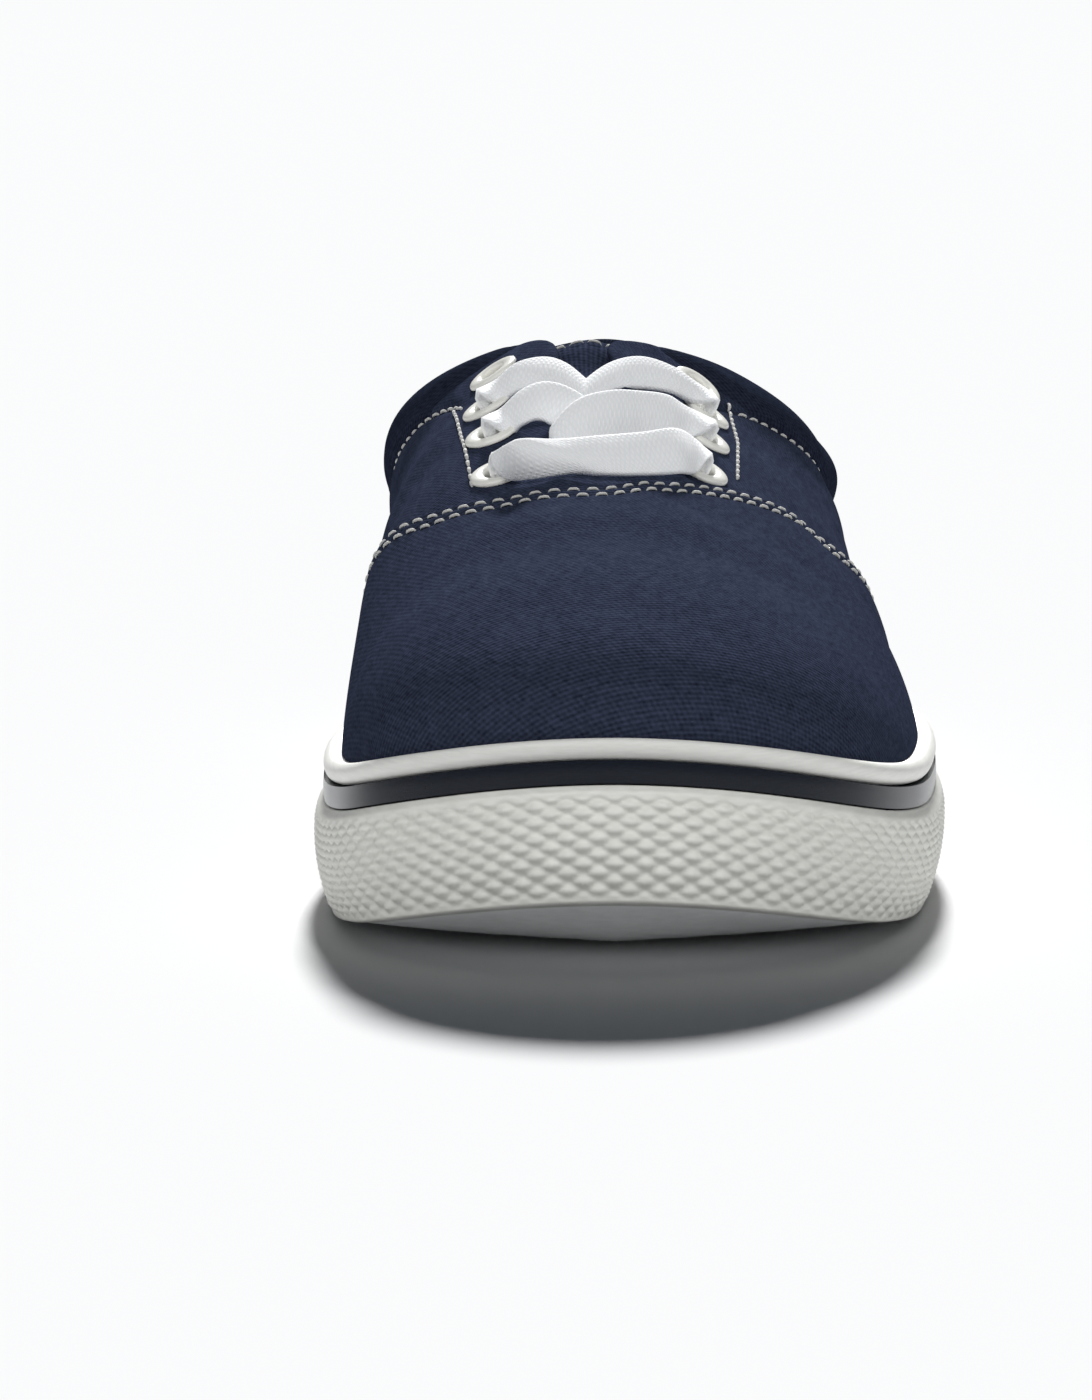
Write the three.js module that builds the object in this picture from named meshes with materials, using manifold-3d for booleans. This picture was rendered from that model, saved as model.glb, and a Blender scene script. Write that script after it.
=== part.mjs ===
// Canvas deck sneaker, one left shoe, about EU 42, standing empty on its sole.
// Millimetres, +Z up. The toe points to -Y, the heel to +Y, the inner (medial) side is -X
// and the outer (lateral) side is +X. "back" is the distance behind the toe tip.
import * as THREE from 'three';
import { mergeVertices } from 'three/addons/utils/BufferGeometryUtils.js';
import Module from 'manifold-3d';

const wasm = await Module();
wasm.setup();

// ---------------------------------------------------------------- driving dimensions
const LENGTH = 296;

// Sole wall: heights above the lower edge of the band, insets from the widest outline.
const TOE_SPRING = 12.4;
const SPRING_BACK = 80;
const SPRING_POWER = 2.6;
const HEEL_WALL = 3.5;
const HEEL_BEVEL = 1.6;
const HEEL_BEVEL_BACK = 276;
const BAND_TOP = 18.5;
const STRIPE_BOTTOM = 18.8;
const STRIPE_TOP = 22.4;
const BEAD_BOTTOM = 22.7;
const BEAD_TOP = 26.3;
const CUP_INSET = 4.3;

// Underside and cup floor.
const ROCKER_BACK = 38;
const ROCKER_RISE = 11.5;
const ROCKER_POWER = 2.2;
const ARCH_FRONT = 138;
const ARCH_REAR = 200;
const ARCH_RISE = 1.8;
const FLOOR_FRONT = 9;
const FLOOR_HEEL_RISE = 6;
const SPINE_FRONT = 42;
const SPINE_REAR = 258;
const FLOOR_SHARES = [0, 0.1, 0.25, 0.55, 1];
const GROOVE_DEPTH = 2;
const GROOVE_WIDTH = 3.2;
const GROOVE_BORDER = 10;
const GROOVE_POINT = 7;

// Upper: the skin starts at the feather line, just inside the bead.
const FEATHER_INSET = 4.6;
const CLOTH = 2.0;
const PAD_DEPTH = 3.0;
const PAD_BULGE = 1.7;
const PAD_START = 0.58;
const PAD_FRONT = 158;
const PAD_FULL = 184;
const GAP = 0.3;
const FOOTBED_GAP = 0.5;
const INSOLE_INSET = 7.0;
const INSOLE_THICK = 4;

// Eyelets.
const EYELET_FLANGE = 5.0;
const EYELET_BARREL = 3.1;
const EYELET_BORE = 2.4;
const EYELET_PROUD = 1.0;
const EYELET_INSIDE = 0.5;

// Flat woven lace.
const LACE_WIDTH = 8.4;
const LACE_THICK = 1.6;
const LACE_LIFT = 3.4;
const LACE_TUCK = 1.5;
const EDGE_LIFT = 3.6;
const DIVE = 2;
const THROAT_AXIS = -6.4;
const THROAT_UP = new THREE.Vector3(0, -0.3, 0.95).normalize();

const AROUND = 72;

// ---------------------------------------------------------------- section tables
function table(columns, rows) {
  const names = columns.split(' ');
  return rows.map((row) => Object.fromEntries(names.map((name, i) => [name, row[i]])));
}

// One row for each section round the shoe, from the toe to the heel on either side.
// back, side: sole outline. openBack, openSide, openUp: edge of the throat and collar.
// rise, lean: length and outward lean of the wall above the feather line.
// reach, dip, aim: length, slope and plan direction of the surface below the opening.
const COLUMNS = 'back side openBack openSide openUp rise lean reach dip aim';
const TOE = table(COLUMNS, [
  [0, -4, 101, -5.8, 69.4, 20, 0.12, 46, 14, 0],
]);
const MEDIAL = table(COLUMNS, [
  [6, -27, 101.6, -8.4, 69.6, 20, 0.12, 44, 15, 10],
  [22, -44, 103.5, -10.4, 70.4, 21, 0.03, 40, 17, 22],
  [48, -51.5, 107.5, -11.6, 71.6, 23, -0.04, 34, 20, 36],
  [78, -53.5, 117, -12.2, 75, 26, -0.04, 33, 20, 52],
  [108, -51.6, 131, -12.8, 79.8, 31, 0.02, 33, 20, 68],
  [140, -47.5, 147, -13.6, 84.5, 32, 0.12, 33, 25, 82],
  [168, -44.4, 161, -14.6, 88, 30, 0.22, 34, 28, 90],
  [188, -43, 172, -20, 86.9, 27, 0.3, 33, 32, 92],
  [210, -42, 190, -30.5, 81.2, 23, 0.33, 27, 44, 92],
  [238, -41, 217, -38.5, 70.5, 17, 0.32, 17, 66, 92],
  [264, -37, 247, -35, 69, 15, 0.24, 14, 80, 106],
  [286, -24.5, 272, -21.5, 75, 16, 0.2, 16, 86, 140],
]);
const HEEL = table(COLUMNS, [
  [296, -2.5, 281.5, -2.5, 78, 17, 0.18, 17, 86, 180],
]);
const LATERAL = table(COLUMNS, [
  [6, 19, 101.6, -3.2, 69.6, 20, 0.12, 44, 15, 10],
  [22, 36.5, 103.5, -1.2, 70.4, 20, 0, 40, 18, 22],
  [48, 47.5, 107.5, -0.2, 71.6, 20, -0.1, 36, 22, 36],
  [78, 52.3, 117, 0.2, 75, 20, -0.18, 33, 26, 52],
  [108, 53.5, 131, -0.2, 79.8, 21, -0.18, 34, 28, 68],
  [140, 51, 147, -1, 84.5, 24, -0.1, 36, 30, 82],
  [168, 47.3, 161, -1.8, 88, 26, 0.1, 42, 32, 90],
  [188, 45, 172, 6.5, 86.4, 26, 0.2, 38, 36, 90],
  [210, 42.5, 190, 20.2, 80.2, 22, 0.3, 31, 46, 90],
  [238, 39.5, 217, 35, 67, 16, 0.26, 15, 72, 90],
  [264, 33.5, 247, 31, 66.5, 14, 0.22, 13, 82, 102],
  [286, 20, 272, 17, 74, 16, 0.2, 16, 86, 140],
]);
const SECTIONS = [
  ...TOE,
  ...MEDIAL,
  ...HEEL,
  ...LATERAL.toReversed().map((row) => ({ ...row, aim: 360 - row.aim })),
];

// Tongue: one row for each cross-section from under the vamp to the free top edge.
const TONGUE_THICK = 3;
const TONGUE_ARCH_POWER = 1.5;
const TONGUE = table('back side half crest drop', [
  [84, -6.5, 17, 61.9, 3],
  [95, -7.5, 19, 64.3, 3.5],
  [104, -8, 21, 66.9, 4.8],
  [118, -8.5, 23, 71.8, 6.8],
  [134, -8, 25.5, 77.7, 11.3],
  [150, -8, 27.5, 82.8, 17],
  [166, -7.5, 29, 85.7, 19.5],
  [173, -7, 29, 85.5, 17.5],
]);

// Eyelet centres, from the vamp to the ankle.
const EYELETS = [
  ...table('name back side', [
    ['eyelet_medial_1', 107, -23],
    ['eyelet_medial_2', 125, -24.2],
    ['eyelet_medial_3', 143, -25.1],
    ['eyelet_medial_4', 161, -24.2],
  ]),
  ...table('name back side', [
    ['eyelet_lateral_1', 114, 12.2],
    ['eyelet_lateral_2', 133, 13.3],
    ['eyelet_lateral_3', 151, 13.8],
    ['eyelet_lateral_4', 165, 12.6],
  ]),
];

// Tread grooves across the two flat parts of the underside.
const GROOVE_BACKS = [52, 62, 72, 82, 92, 116, 126, 212, 222, 250, 260];

// ---------------------------------------------------------------- curves and surfaces
const clamp = (t) => Math.min(1, Math.max(0, t));
const blend = (from, to, value) => THREE.MathUtils.smoothstep(value, from, to);

// Closed Catmull-Rom curve through one column of the sections, u from 0 at the toe to 1.
function along(column, u) {
  const count = SECTIONS.length;
  const turn = (((u % 1) + 1) % 1) * count;
  const i = Math.floor(turn);
  const t = turn - i;
  const [a, b, c, d] = [-1, 0, 1, 2].map((step) => SECTIONS[(i + step + count) % count][column]);
  const m1 = (c - a) / 2;
  const m2 = (d - b) / 2;
  return (2 * t ** 3 - 3 * t ** 2 + 1) * b + (t ** 3 - 2 * t ** 2 + t) * m1
    + (3 * t ** 2 - 2 * t ** 3) * c + (t ** 3 - t ** 2) * m2;
}

// Plan direction of the surface below the opening, turning once round the shoe.
function aimAt(u) {
  const count = SECTIONS.length;
  const turn = (((u % 1) + 1) % 1) * count;
  const i = Math.floor(turn);
  const next = i + 1 === count ? 360 : SECTIONS[i + 1].aim;
  return THREE.MathUtils.degToRad(THREE.MathUtils.lerp(SECTIONS[i].aim, next, turn - i));
}

const point = (side, back, up) => new THREE.Vector3(side, back - LENGTH / 2, up);
const backOf = (p) => p.y + LENGTH / 2;

// Outward direction of the sole outline in plan.
function outward(u) {
  const step = 1e-3;
  const dx = along('side', u + step) - along('side', u - step);
  const dy = along('back', u + step) - along('back', u - step);
  return new THREE.Vector3(-dy, dx, 0).normalize();
}

// Sole outline moved inwards, at height zero.
function outline(u, inset) {
  return point(along('side', u), along('back', u), 0).addScaledVector(outward(u), -inset);
}

// Lower edge of the sole's band, and a height on the sole wall above it.
function bandEdge(back) {
  const toe = TOE_SPRING * clamp((SPRING_BACK - back) / SPRING_BACK) ** SPRING_POWER;
  const heel = HEEL_BEVEL * clamp((back - HEEL_BEVEL_BACK) / (LENGTH - HEEL_BEVEL_BACK)) ** 2;
  return toe + heel;
}

function wallUp(back, height) {
  return bandEdge(back) + height + HEEL_WALL * blend(120, LENGTH, back) * (height / BEAD_TOP);
}

function underside(back) {
  const rocker = ROCKER_RISE * clamp((ROCKER_BACK - back) / ROCKER_BACK) ** ROCKER_POWER;
  const arch = ARCH_RISE * Math.sin(Math.PI * clamp((back - ARCH_FRONT) / (ARCH_REAR - ARCH_FRONT))) ** 2;
  return rocker + arch + bandEdge(Math.max(back, SPRING_BACK));
}

function cupFloor(back) {
  const spring = TOE_SPRING * clamp((SPRING_BACK - back) / SPRING_BACK) ** SPRING_POWER;
  return FLOOR_FRONT + spring + FLOOR_HEEL_RISE * blend(110, 240, back);
}

// How far the padded collar has taken over from the thin facing, 0 to 1.
const collar = (u) => blend(PAD_FRONT, PAD_FULL, along('openBack', u));

function padShare(v) {
  return Math.sin(Math.PI * clamp((v - PAD_START) / (1 - PAD_START))) ** 1.2;
}

// Outer surface of the upper: v runs from the feather line, 0, to the opening edge, 1.
function bareSkin(u, v) {
  const out = outward(u);
  const foot = outline(u, FEATHER_INSET);
  foot.z = wallUp(backOf(foot), BEAD_TOP);
  const rise = along('rise', u);
  const footHandle = foot.clone().addScaledVector(out, rise * along('lean', u));
  footHandle.z += rise;
  const top = point(along('openSide', u), along('openBack', u), along('openUp', u));
  const aim = aimAt(u);
  const dip = THREE.MathUtils.degToRad(along('dip', u));
  const away = new THREE.Vector3(-Math.sin(aim) * Math.cos(dip), -Math.cos(aim) * Math.cos(dip), -Math.sin(dip));
  const topHandle = top.clone().addScaledVector(away, along('reach', u));
  return new THREE.CubicBezierCurve3(foot, footHandle, topHandle, top).getPoint(v);
}

function skinNormal(u, v) {
  const step = 2e-3;
  const ahead = bareSkin(u + step, v).sub(bareSkin(u - step, v));
  const up = bareSkin(u, Math.min(1, v + step)).sub(bareSkin(u, Math.max(0, v - step)));
  return up.cross(ahead).normalize();
}

function skin(u, v, depth = 0) {
  const bulge = PAD_BULGE * collar(u) * padShare(v);
  return bareSkin(u, v).addScaledVector(skinNormal(u, v), bulge - depth);
}

function wallDepth(u, v) {
  return CLOTH + PAD_DEPTH * collar(u) * blend(PAD_START, 0.9, v);
}

// The place on the skin with a given plan position, found by Newton steps.
function landing(side, back) {
  let u = side < along('openSide', 0) ? 0.2 : 0.8;
  let v = 0.85;
  const step = 1e-4;
  for (let turn = 0; turn < 20; turn += 1) {
    const here = skin(u, v);
    const du = skin(u + step, v).sub(here).divideScalar(step);
    const dv = skin(u, v + step).sub(here).divideScalar(step);
    const ex = side - here.x;
    const ey = back - backOf(here);
    const size = du.x * dv.y - du.y * dv.x;
    u += THREE.MathUtils.clamp((ex * dv.y - ey * dv.x) / size, -0.03, 0.03);
    v = Math.min(0.98, v + THREE.MathUtils.clamp((du.x * ey - du.y * ex) / size, -0.1, 0.1));
  }
  return { u, v };
}

// ---------------------------------------------------------------- mesh building
function solidFrom(positions, faces) {
  const geometry = new THREE.BufferGeometry();
  geometry.setAttribute('position', new THREE.Float32BufferAttribute(positions.flatMap((p) => [p.x, p.y, p.z]), 3));
  geometry.setIndex(faces.flat());
  return toManifold(geometry);
}

function toManifold(source) {
  const bare = source.clone();
  bare.deleteAttribute('normal');
  bare.deleteAttribute('uv');
  const geometry = mergeVertices(bare, 1e-4);
  const index = geometry.index.array;
  const faces = [];
  for (let i = 0; i < index.length; i += 3) {
    const [a, b, c] = [index[i], index[i + 1], index[i + 2]];
    if (a !== b && b !== c && c !== a) {
      faces.push(a, b, c);
    }
  }
  return new wasm.Manifold(new wasm.Mesh({
    numProp: 3,
    vertProperties: new Float32Array(geometry.attributes.position.array),
    triVerts: new Uint32Array(faces),
  }));
}

function toGeometry(solid) {
  const mesh = solid.getMesh();
  const geometry = new THREE.BufferGeometry();
  geometry.setAttribute('position', new THREE.BufferAttribute(new Float32Array(mesh.vertProperties), 3));
  geometry.setIndex(new THREE.BufferAttribute(new Uint32Array(mesh.triVerts), 1));
  geometry.computeVertexNormals();
  return geometry;
}

// Closed rings joined one after another. The last ring joins the first when it is a tube.
function loft(rings, isTube) {
  const count = rings[0].length;
  const bands = isTube ? rings.length : rings.length - 1;
  const faces = [];
  for (let r = 0; r < bands; r += 1) {
    const low = r * count;
    const high = ((r + 1) % rings.length) * count;
    for (let i = 0; i < count; i += 1) {
      const j = (i + 1) % count;
      faces.push([low + i, high + j, low + j], [low + i, high + i, high + j]);
    }
  }
  return solidFrom(rings.flat(), faces);
}

// Two grids of the same size, the front faces of a thin sheet, joined round their edges.
function sheet(front, rear) {
  const rows = front.length;
  const columns = front[0].length;
  const offset = rows * columns;
  const at = (r, c) => r * columns + c;
  const faces = [];
  for (let r = 0; r + 1 < rows; r += 1) {
    for (let c = 0; c + 1 < columns; c += 1) {
      const [a, b, d, e] = [at(r, c), at(r, c + 1), at(r + 1, c), at(r + 1, c + 1)];
      faces.push([a, b, e], [a, e, d], [offset + a, offset + e, offset + b], [offset + a, offset + d, offset + e]);
    }
  }
  const border = [];
  for (let c = 0; c + 1 < columns; c += 1) border.push(at(0, c));
  for (let r = 0; r + 1 < rows; r += 1) border.push(at(r, columns - 1));
  for (let c = columns - 1; c > 0; c -= 1) border.push(at(rows - 1, c));
  for (let r = rows - 1; r > 0; r -= 1) border.push(at(r, 0));
  border.forEach((a, i) => {
    const b = border[(i + 1) % border.length];
    faces.push([a, offset + a, offset + b], [a, offset + b, b]);
  });
  return solidFrom([...front.flat(), ...rear.flat()], faces);
}

const turns = (count) => Array.from({ length: count }, (_, i) => i / count);
const steps = (count) => Array.from({ length: count + 1 }, (_, i) => i / count);

// ---------------------------------------------------------------- sole
// Both sides of the outline share one spine, so a ring can close onto it.
function spinePoint(u) {
  const half = Math.min(u, 1 - u) * 2;
  const back = THREE.MathUtils.lerp(SPINE_FRONT, SPINE_REAR, half);
  return point(-3 * (1 - half), back, 0);
}

function towardSpine(inset, share, up) {
  return turns(AROUND).map((u) => {
    const p = outline(u, inset).lerp(spinePoint(u), share);
    p.z = up(backOf(p));
    return p;
  });
}

const wallRing = (inset, height) => towardSpine(inset, 0, (back) => wallUp(back, height));

function makeOutsole() {
  const base = loft([
    towardSpine(5, 1, underside),
    ...[0.7, 0.42, 0.2, 0.08].map((share) => towardSpine(5, share, underside)),
    towardSpine(5, 0, underside),
    wallRing(2.5, 0.7),
    wallRing(0.6, 6),
    wallRing(0, 13),
    wallRing(0.2, 17),
    wallRing(1.4, BAND_TOP),
    wallRing(CUP_INSET, BAND_TOP),
    ...FLOOR_SHARES.map((share) => towardSpine(CUP_INSET, share, cupFloor)),
  ], false);
  return GROOVE_BACKS.reduce((body, back) => body.subtract(makeGroove(back)), base);
}

// One column of a section table where another column reaches a value.
function lookUp(rows, known, value, wanted) {
  const i = rows.findIndex((row, k) => k > 0 && row[known] >= value);
  const t = (value - rows[i - 1][known]) / (rows[i][known] - rows[i - 1][known]);
  return THREE.MathUtils.lerp(rows[i - 1][wanted], rows[i][wanted], t);
}

// A chevron groove that stops short of the edge on both sides.
function makeGroove(back) {
  const left = lookUp(MEDIAL, 'back', back, 'side') + GROOVE_BORDER;
  const right = lookUp(LATERAL, 'back', back, 'side') - GROOVE_BORDER;
  const middle = (left + right) / 2;
  const rear = back - LENGTH / 2;
  const shape = new THREE.Shape([
    new THREE.Vector2(left, rear),
    new THREE.Vector2(middle, rear - GROOVE_POINT),
    new THREE.Vector2(right, rear),
    new THREE.Vector2(right, rear + GROOVE_WIDTH),
    new THREE.Vector2(middle, rear - GROOVE_POINT + GROOVE_WIDTH),
    new THREE.Vector2(left, rear + GROOVE_WIDTH),
  ]);
  const bar = new THREE.ExtrudeGeometry(shape, { depth: GROOVE_DEPTH + 5, bevelEnabled: false });
  bar.translate(0, 0, -5);
  return toManifold(bar);
}

function makeStripe() {
  return loft([
    wallRing(1.4, STRIPE_BOTTOM),
    wallRing(1.4, STRIPE_TOP),
    wallRing(CUP_INSET, STRIPE_TOP),
    wallRing(CUP_INSET, STRIPE_BOTTOM),
  ], true);
}

function makeBead() {
  return loft([
    wallRing(2, BEAD_BOTTOM),
    wallRing(1.4, BEAD_BOTTOM + 1.4),
    wallRing(2, BEAD_TOP - 0.7),
    wallRing(3.1, BEAD_TOP),
    wallRing(CUP_INSET, BEAD_TOP),
    wallRing(CUP_INSET, BEAD_BOTTOM),
  ], true);
}

function makeInsole() {
  const low = (back) => cupFloor(back) + FOOTBED_GAP;
  const high = (back) => cupFloor(back) + FOOTBED_GAP + INSOLE_THICK;
  return loft([
    ...FLOOR_SHARES.toReversed().map((share) => towardSpine(INSOLE_INSET, share, low)),
    ...[0, 0.3, 1].map((share) => towardSpine(INSOLE_INSET, share, high)),
  ], false);
}

// ---------------------------------------------------------------- upper
// A ring of the part of the upper that stands inside the cup, below the feather line.
function skirtRing(inset, share) {
  return turns(AROUND).map((u) => {
    const p = outline(u, inset);
    const feather = outline(u, FEATHER_INSET);
    p.z = THREE.MathUtils.lerp(cupFloor(backOf(p)) + GAP, wallUp(backOf(feather), BEAD_TOP), share);
    return p;
  });
}

function skinRing(v, share) {
  return turns(AROUND).map((u) => skin(u, v, wallDepth(u, v) * share));
}

// The rolled edge of the opening, a half round between the two faces.
function rimRing(angle) {
  return turns(AROUND).map((u) => {
    const depth = wallDepth(u, 1);
    const up = skin(u, 1).sub(skin(u, 0.99)).normalize();
    const p = skin(u, 1, depth / 2 * (1 - Math.cos(angle)));
    return p.addScaledVector(up, depth / 2 * Math.sin(angle));
  });
}

function makeUpper() {
  const outer = steps(11).slice(1);
  const inner = steps(7).toReversed().slice(0, -1);
  const shell = loft([
    skirtRing(FEATHER_INSET, 0),
    skirtRing(FEATHER_INSET, 1),
    ...outer.map((v) => skinRing(v, 0)),
    ...[0.25, 0.5, 0.75].map((share) => rimRing(Math.PI * share)),
    ...inner.map((v) => skinRing(v, 1)),
    skirtRing(FEATHER_INSET + CLOTH, 1),
    skirtRing(FEATHER_INSET + CLOTH, 0),
  ], true);
  return EYELETS.reduce((body, eyelet) => body.subtract(eyeletHole(eyelet)), shell);
}

// ---------------------------------------------------------------- eyelets
// Turns a piece built along +Y so that it stands on the skin at an eyelet.
function onSkin(geometry, eyelet) {
  const { u, v } = landing(eyelet.side, eyelet.back);
  const turn = new THREE.Quaternion().setFromUnitVectors(new THREE.Vector3(0, 1, 0), skinNormal(u, v));
  geometry.applyQuaternion(turn);
  const place = skin(u, v);
  geometry.translate(place.x, place.y, place.z);
  return geometry;
}

function eyeletHole(eyelet) {
  return toManifold(onSkin(new THREE.CylinderGeometry(EYELET_BARREL + GAP, EYELET_BARREL + GAP, 12, 16), eyelet));
}

function makeEyelet(eyelet) {
  const inside = -CLOTH - EYELET_INSIDE;
  const profile = [
    [EYELET_BORE, inside],
    [EYELET_BARREL, inside],
    [EYELET_BARREL, GAP],
    [EYELET_FLANGE, GAP],
    [EYELET_FLANGE - 0.6, GAP + EYELET_PROUD * 0.8],
    [EYELET_BORE, GAP + EYELET_PROUD],
    [EYELET_BORE, inside],
  ];
  const lathe = new THREE.LatheGeometry(profile.map(([r, y]) => new THREE.Vector2(r, y)), 10);
  return toManifold(onSkin(lathe, eyelet));
}

// ---------------------------------------------------------------- tongue
function tongueAt(share) {
  const place = share * (TONGUE.length - 1);
  const i = Math.min(TONGUE.length - 2, Math.floor(place));
  const mix = (column) => THREE.MathUtils.lerp(TONGUE[i][column], TONGUE[i + 1][column], place - i);
  return { back: mix('back'), side: mix('side'), half: mix('half'), crest: mix('crest'), drop: mix('drop') };
}

function tongueGrid(depth) {
  return steps(12).map((share) => {
    const row = tongueAt(share);
    return steps(8).map((across) => {
      const s = across * 2 - 1;
      return point(row.side + s * row.half, row.back, row.crest - row.drop * Math.abs(s) ** TONGUE_ARCH_POWER - depth);
    });
  });
}

function makeTongue() {
  return sheet(tongueGrid(0), tongueGrid(TONGUE_THICK));
}

// ---------------------------------------------------------------- laces
// A flat ribbon through points, its faces level with the throat.
function ribbon(route) {
  const curve = new THREE.CatmullRomCurve3(route, false, 'centripetal');
  const grid = (depth) => steps(12).map((share) => {
    const ahead = curve.getTangentAt(share);
    const across = THROAT_UP.clone().cross(ahead).normalize();
    const up = ahead.clone().cross(across);
    return [1, -1].map((s) => curve.getPointAt(share)
      .addScaledVector(across, s * LACE_WIDTH / 2)
      .addScaledVector(up, LACE_THICK / 2 - depth));
  });
  return sheet(grid(0), grid(LACE_THICK));
}

// A point above the skin on the throat side of an eyelet.
function besideEyelet(eyelet, inwards) {
  const { u, v } = landing(eyelet.side + inwards * LACE_TUCK, eyelet.back);
  return skin(u, v).addScaledVector(skinNormal(u, v), LACE_LIFT);
}

function laceEnds(i) {
  return [besideEyelet(EYELETS[i], 1), besideEyelet(EYELETS[i + EYELETS.length / 2], -1)];
}

// A point over the throat, measured from the height of its edges.
function overThroat(side, y, lift) {
  return new THREE.Vector3(side, y, lookUp(MEDIAL, 'openBack', y + LENGTH / 2, 'openUp') + lift);
}

function makeLaceBar() {
  const [left, right] = laceEnds(0);
  const middle = overThroat(THROAT_AXIS, (left.y + right.y) / 2, EDGE_LIFT);
  return ribbon([left, middle, right]);
}

// Two strands that rise out of the throat and cross before they reach their eyelets.
function makeLaceCross(i) {
  const ends = laceEnds(i);
  const y = (ends[0].y + ends[1].y) / 2;
  const strands = ends.map((end, k) => {
    const inwards = k === 0 ? 1 : -1;
    const edge = overThroat(THROAT_AXIS - inwards * 6.5, y, EDGE_LIFT);
    const dive = overThroat(THROAT_AXIS + inwards * 3.5, y - 8, EDGE_LIFT - DIVE);
    return ribbon([end, edge, dive]);
  });
  return strands[0].add(strands[1]);
}

// ---------------------------------------------------------------- assembly
function material(color, roughness, metalness = 0) {
  return new THREE.MeshStandardMaterial({ color, roughness, metalness });
}

const OFF_WHITE_RUBBER = material(0xc9c9c2, 0.6);
const WHITE_RUBBER = material(0xf1f0ea, 0.45);
const NAVY_GLOSS = material(0x0a1220, 0.2);
const NAVY_CANVAS = material(0x262c42, 0.9);
const LINING = material(0x8d8880, 0.9);
const IVORY_PAINT = material(0xf5f2e6, 0.4);
const WHITE_COTTON = material(0xf7f8f8, 0.85);

const shoe = new THREE.Group();

function addPiece(name, solid, surface) {
  const mesh = new THREE.Mesh(toGeometry(solid), surface);
  mesh.name = name;
  shoe.add(mesh);
}

addPiece('outsole', makeOutsole(), OFF_WHITE_RUBBER);
addPiece('sole_stripe', makeStripe(), NAVY_GLOSS);
addPiece('sole_bead', makeBead(), WHITE_RUBBER);
addPiece('insole', makeInsole(), LINING);
addPiece('upper', makeUpper(), NAVY_CANVAS);
addPiece('tongue', makeTongue(), NAVY_CANVAS);
for (const eyelet of EYELETS) {
  addPiece(eyelet.name, makeEyelet(eyelet), IVORY_PAINT);
}
addPiece('lace_bar', makeLaceBar(), WHITE_COTTON);
addPiece('lace_cross_lower', makeLaceCross(1), WHITE_COTTON);
addPiece('lace_cross_upper', makeLaceCross(2), WHITE_COTTON);

export default shoe;
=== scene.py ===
"""Canvas deck sneaker, one left shoe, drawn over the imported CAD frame.

Millimetres in this script, metres in Blender. The toe points to -Y, the inner (medial) side
is -X. "back" is the distance behind the toe tip, "side" is X and "up" is Z.
"""
import math

import bmesh
import bpy
import numpy as np
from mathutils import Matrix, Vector
from mathutils.bvhtree import BVHTree


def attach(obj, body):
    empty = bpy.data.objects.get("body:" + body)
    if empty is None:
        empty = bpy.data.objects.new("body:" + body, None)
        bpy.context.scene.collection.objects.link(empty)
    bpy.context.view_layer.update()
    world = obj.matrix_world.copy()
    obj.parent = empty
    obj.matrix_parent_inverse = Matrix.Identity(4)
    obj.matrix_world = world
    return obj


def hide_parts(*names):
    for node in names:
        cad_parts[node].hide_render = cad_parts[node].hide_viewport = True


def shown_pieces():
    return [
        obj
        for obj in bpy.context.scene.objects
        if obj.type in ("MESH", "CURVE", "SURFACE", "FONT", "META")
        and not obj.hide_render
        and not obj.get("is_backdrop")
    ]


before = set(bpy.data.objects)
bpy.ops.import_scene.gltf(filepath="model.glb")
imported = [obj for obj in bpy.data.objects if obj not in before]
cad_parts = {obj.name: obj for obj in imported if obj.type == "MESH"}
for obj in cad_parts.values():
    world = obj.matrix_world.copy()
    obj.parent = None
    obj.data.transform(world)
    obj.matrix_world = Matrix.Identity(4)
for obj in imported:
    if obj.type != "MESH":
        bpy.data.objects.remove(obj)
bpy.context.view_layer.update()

MM = 0.001

# ---------------------------------------------------------------- driving dimensions
LENGTH = 296
TOE_SPRING = 12.4
SPRING_BACK = 80
SPRING_POWER = 2.6
HEEL_WALL = 3.5
HEEL_BEVEL = 1.6
HEEL_BEVEL_BACK = 276
BAND_TOP = 18.5
STRIPE_BOTTOM = 18.8
STRIPE_TOP = 22.4
BEAD_BOTTOM = 22.7
BEAD_TOP = 26.3
CUP_INSET = 4.3
ROCKER_BACK = 38
ROCKER_RISE = 11.5
ROCKER_POWER = 2.2
ARCH_FRONT = 138
ARCH_REAR = 200
ARCH_RISE = 1.8
FLOOR_FRONT = 9
FLOOR_HEEL_RISE = 6
SPINE_FRONT = 42
SPINE_REAR = 258
GROOVE_DEPTH = 2
GROOVE_WIDTH = 3.2
GROOVE_BORDER = 10
GROOVE_POINT = 7
GROOVE_BACKS = [52, 62, 72, 82, 92, 116, 126, 212, 222, 250, 260]
FEATHER_INSET = 4.6
CLOTH = 2.0
PAD_DEPTH = 3.0
PAD_BULGE = 1.7
PAD_START = 0.58
PAD_FRONT = 158
PAD_FULL = 184
FOOTBED_GAP = 0.5
INSOLE_INSET = 7.0
INSOLE_THICK = 4

# Diamond bumps moulded into the band of the sole.
BUMP_PITCH = 5.1
BUMP_ROW = 2.62
BUMP_HIGH = 0.95
BUMP_FROM = 0.6
BUMP_TO = 16.6

# Seams and thread.
SEAM_FRONT = 93.5
SEAM_SIDE = -6.5
SEAM_UP = 68
VAMP_PROUD = 0.85
SEAM_ROWS = [1.5, 4.6]
STITCH_PITCH = 3.3
STITCH_LONG = 2.3
STITCH_THICK = 0.34
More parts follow.
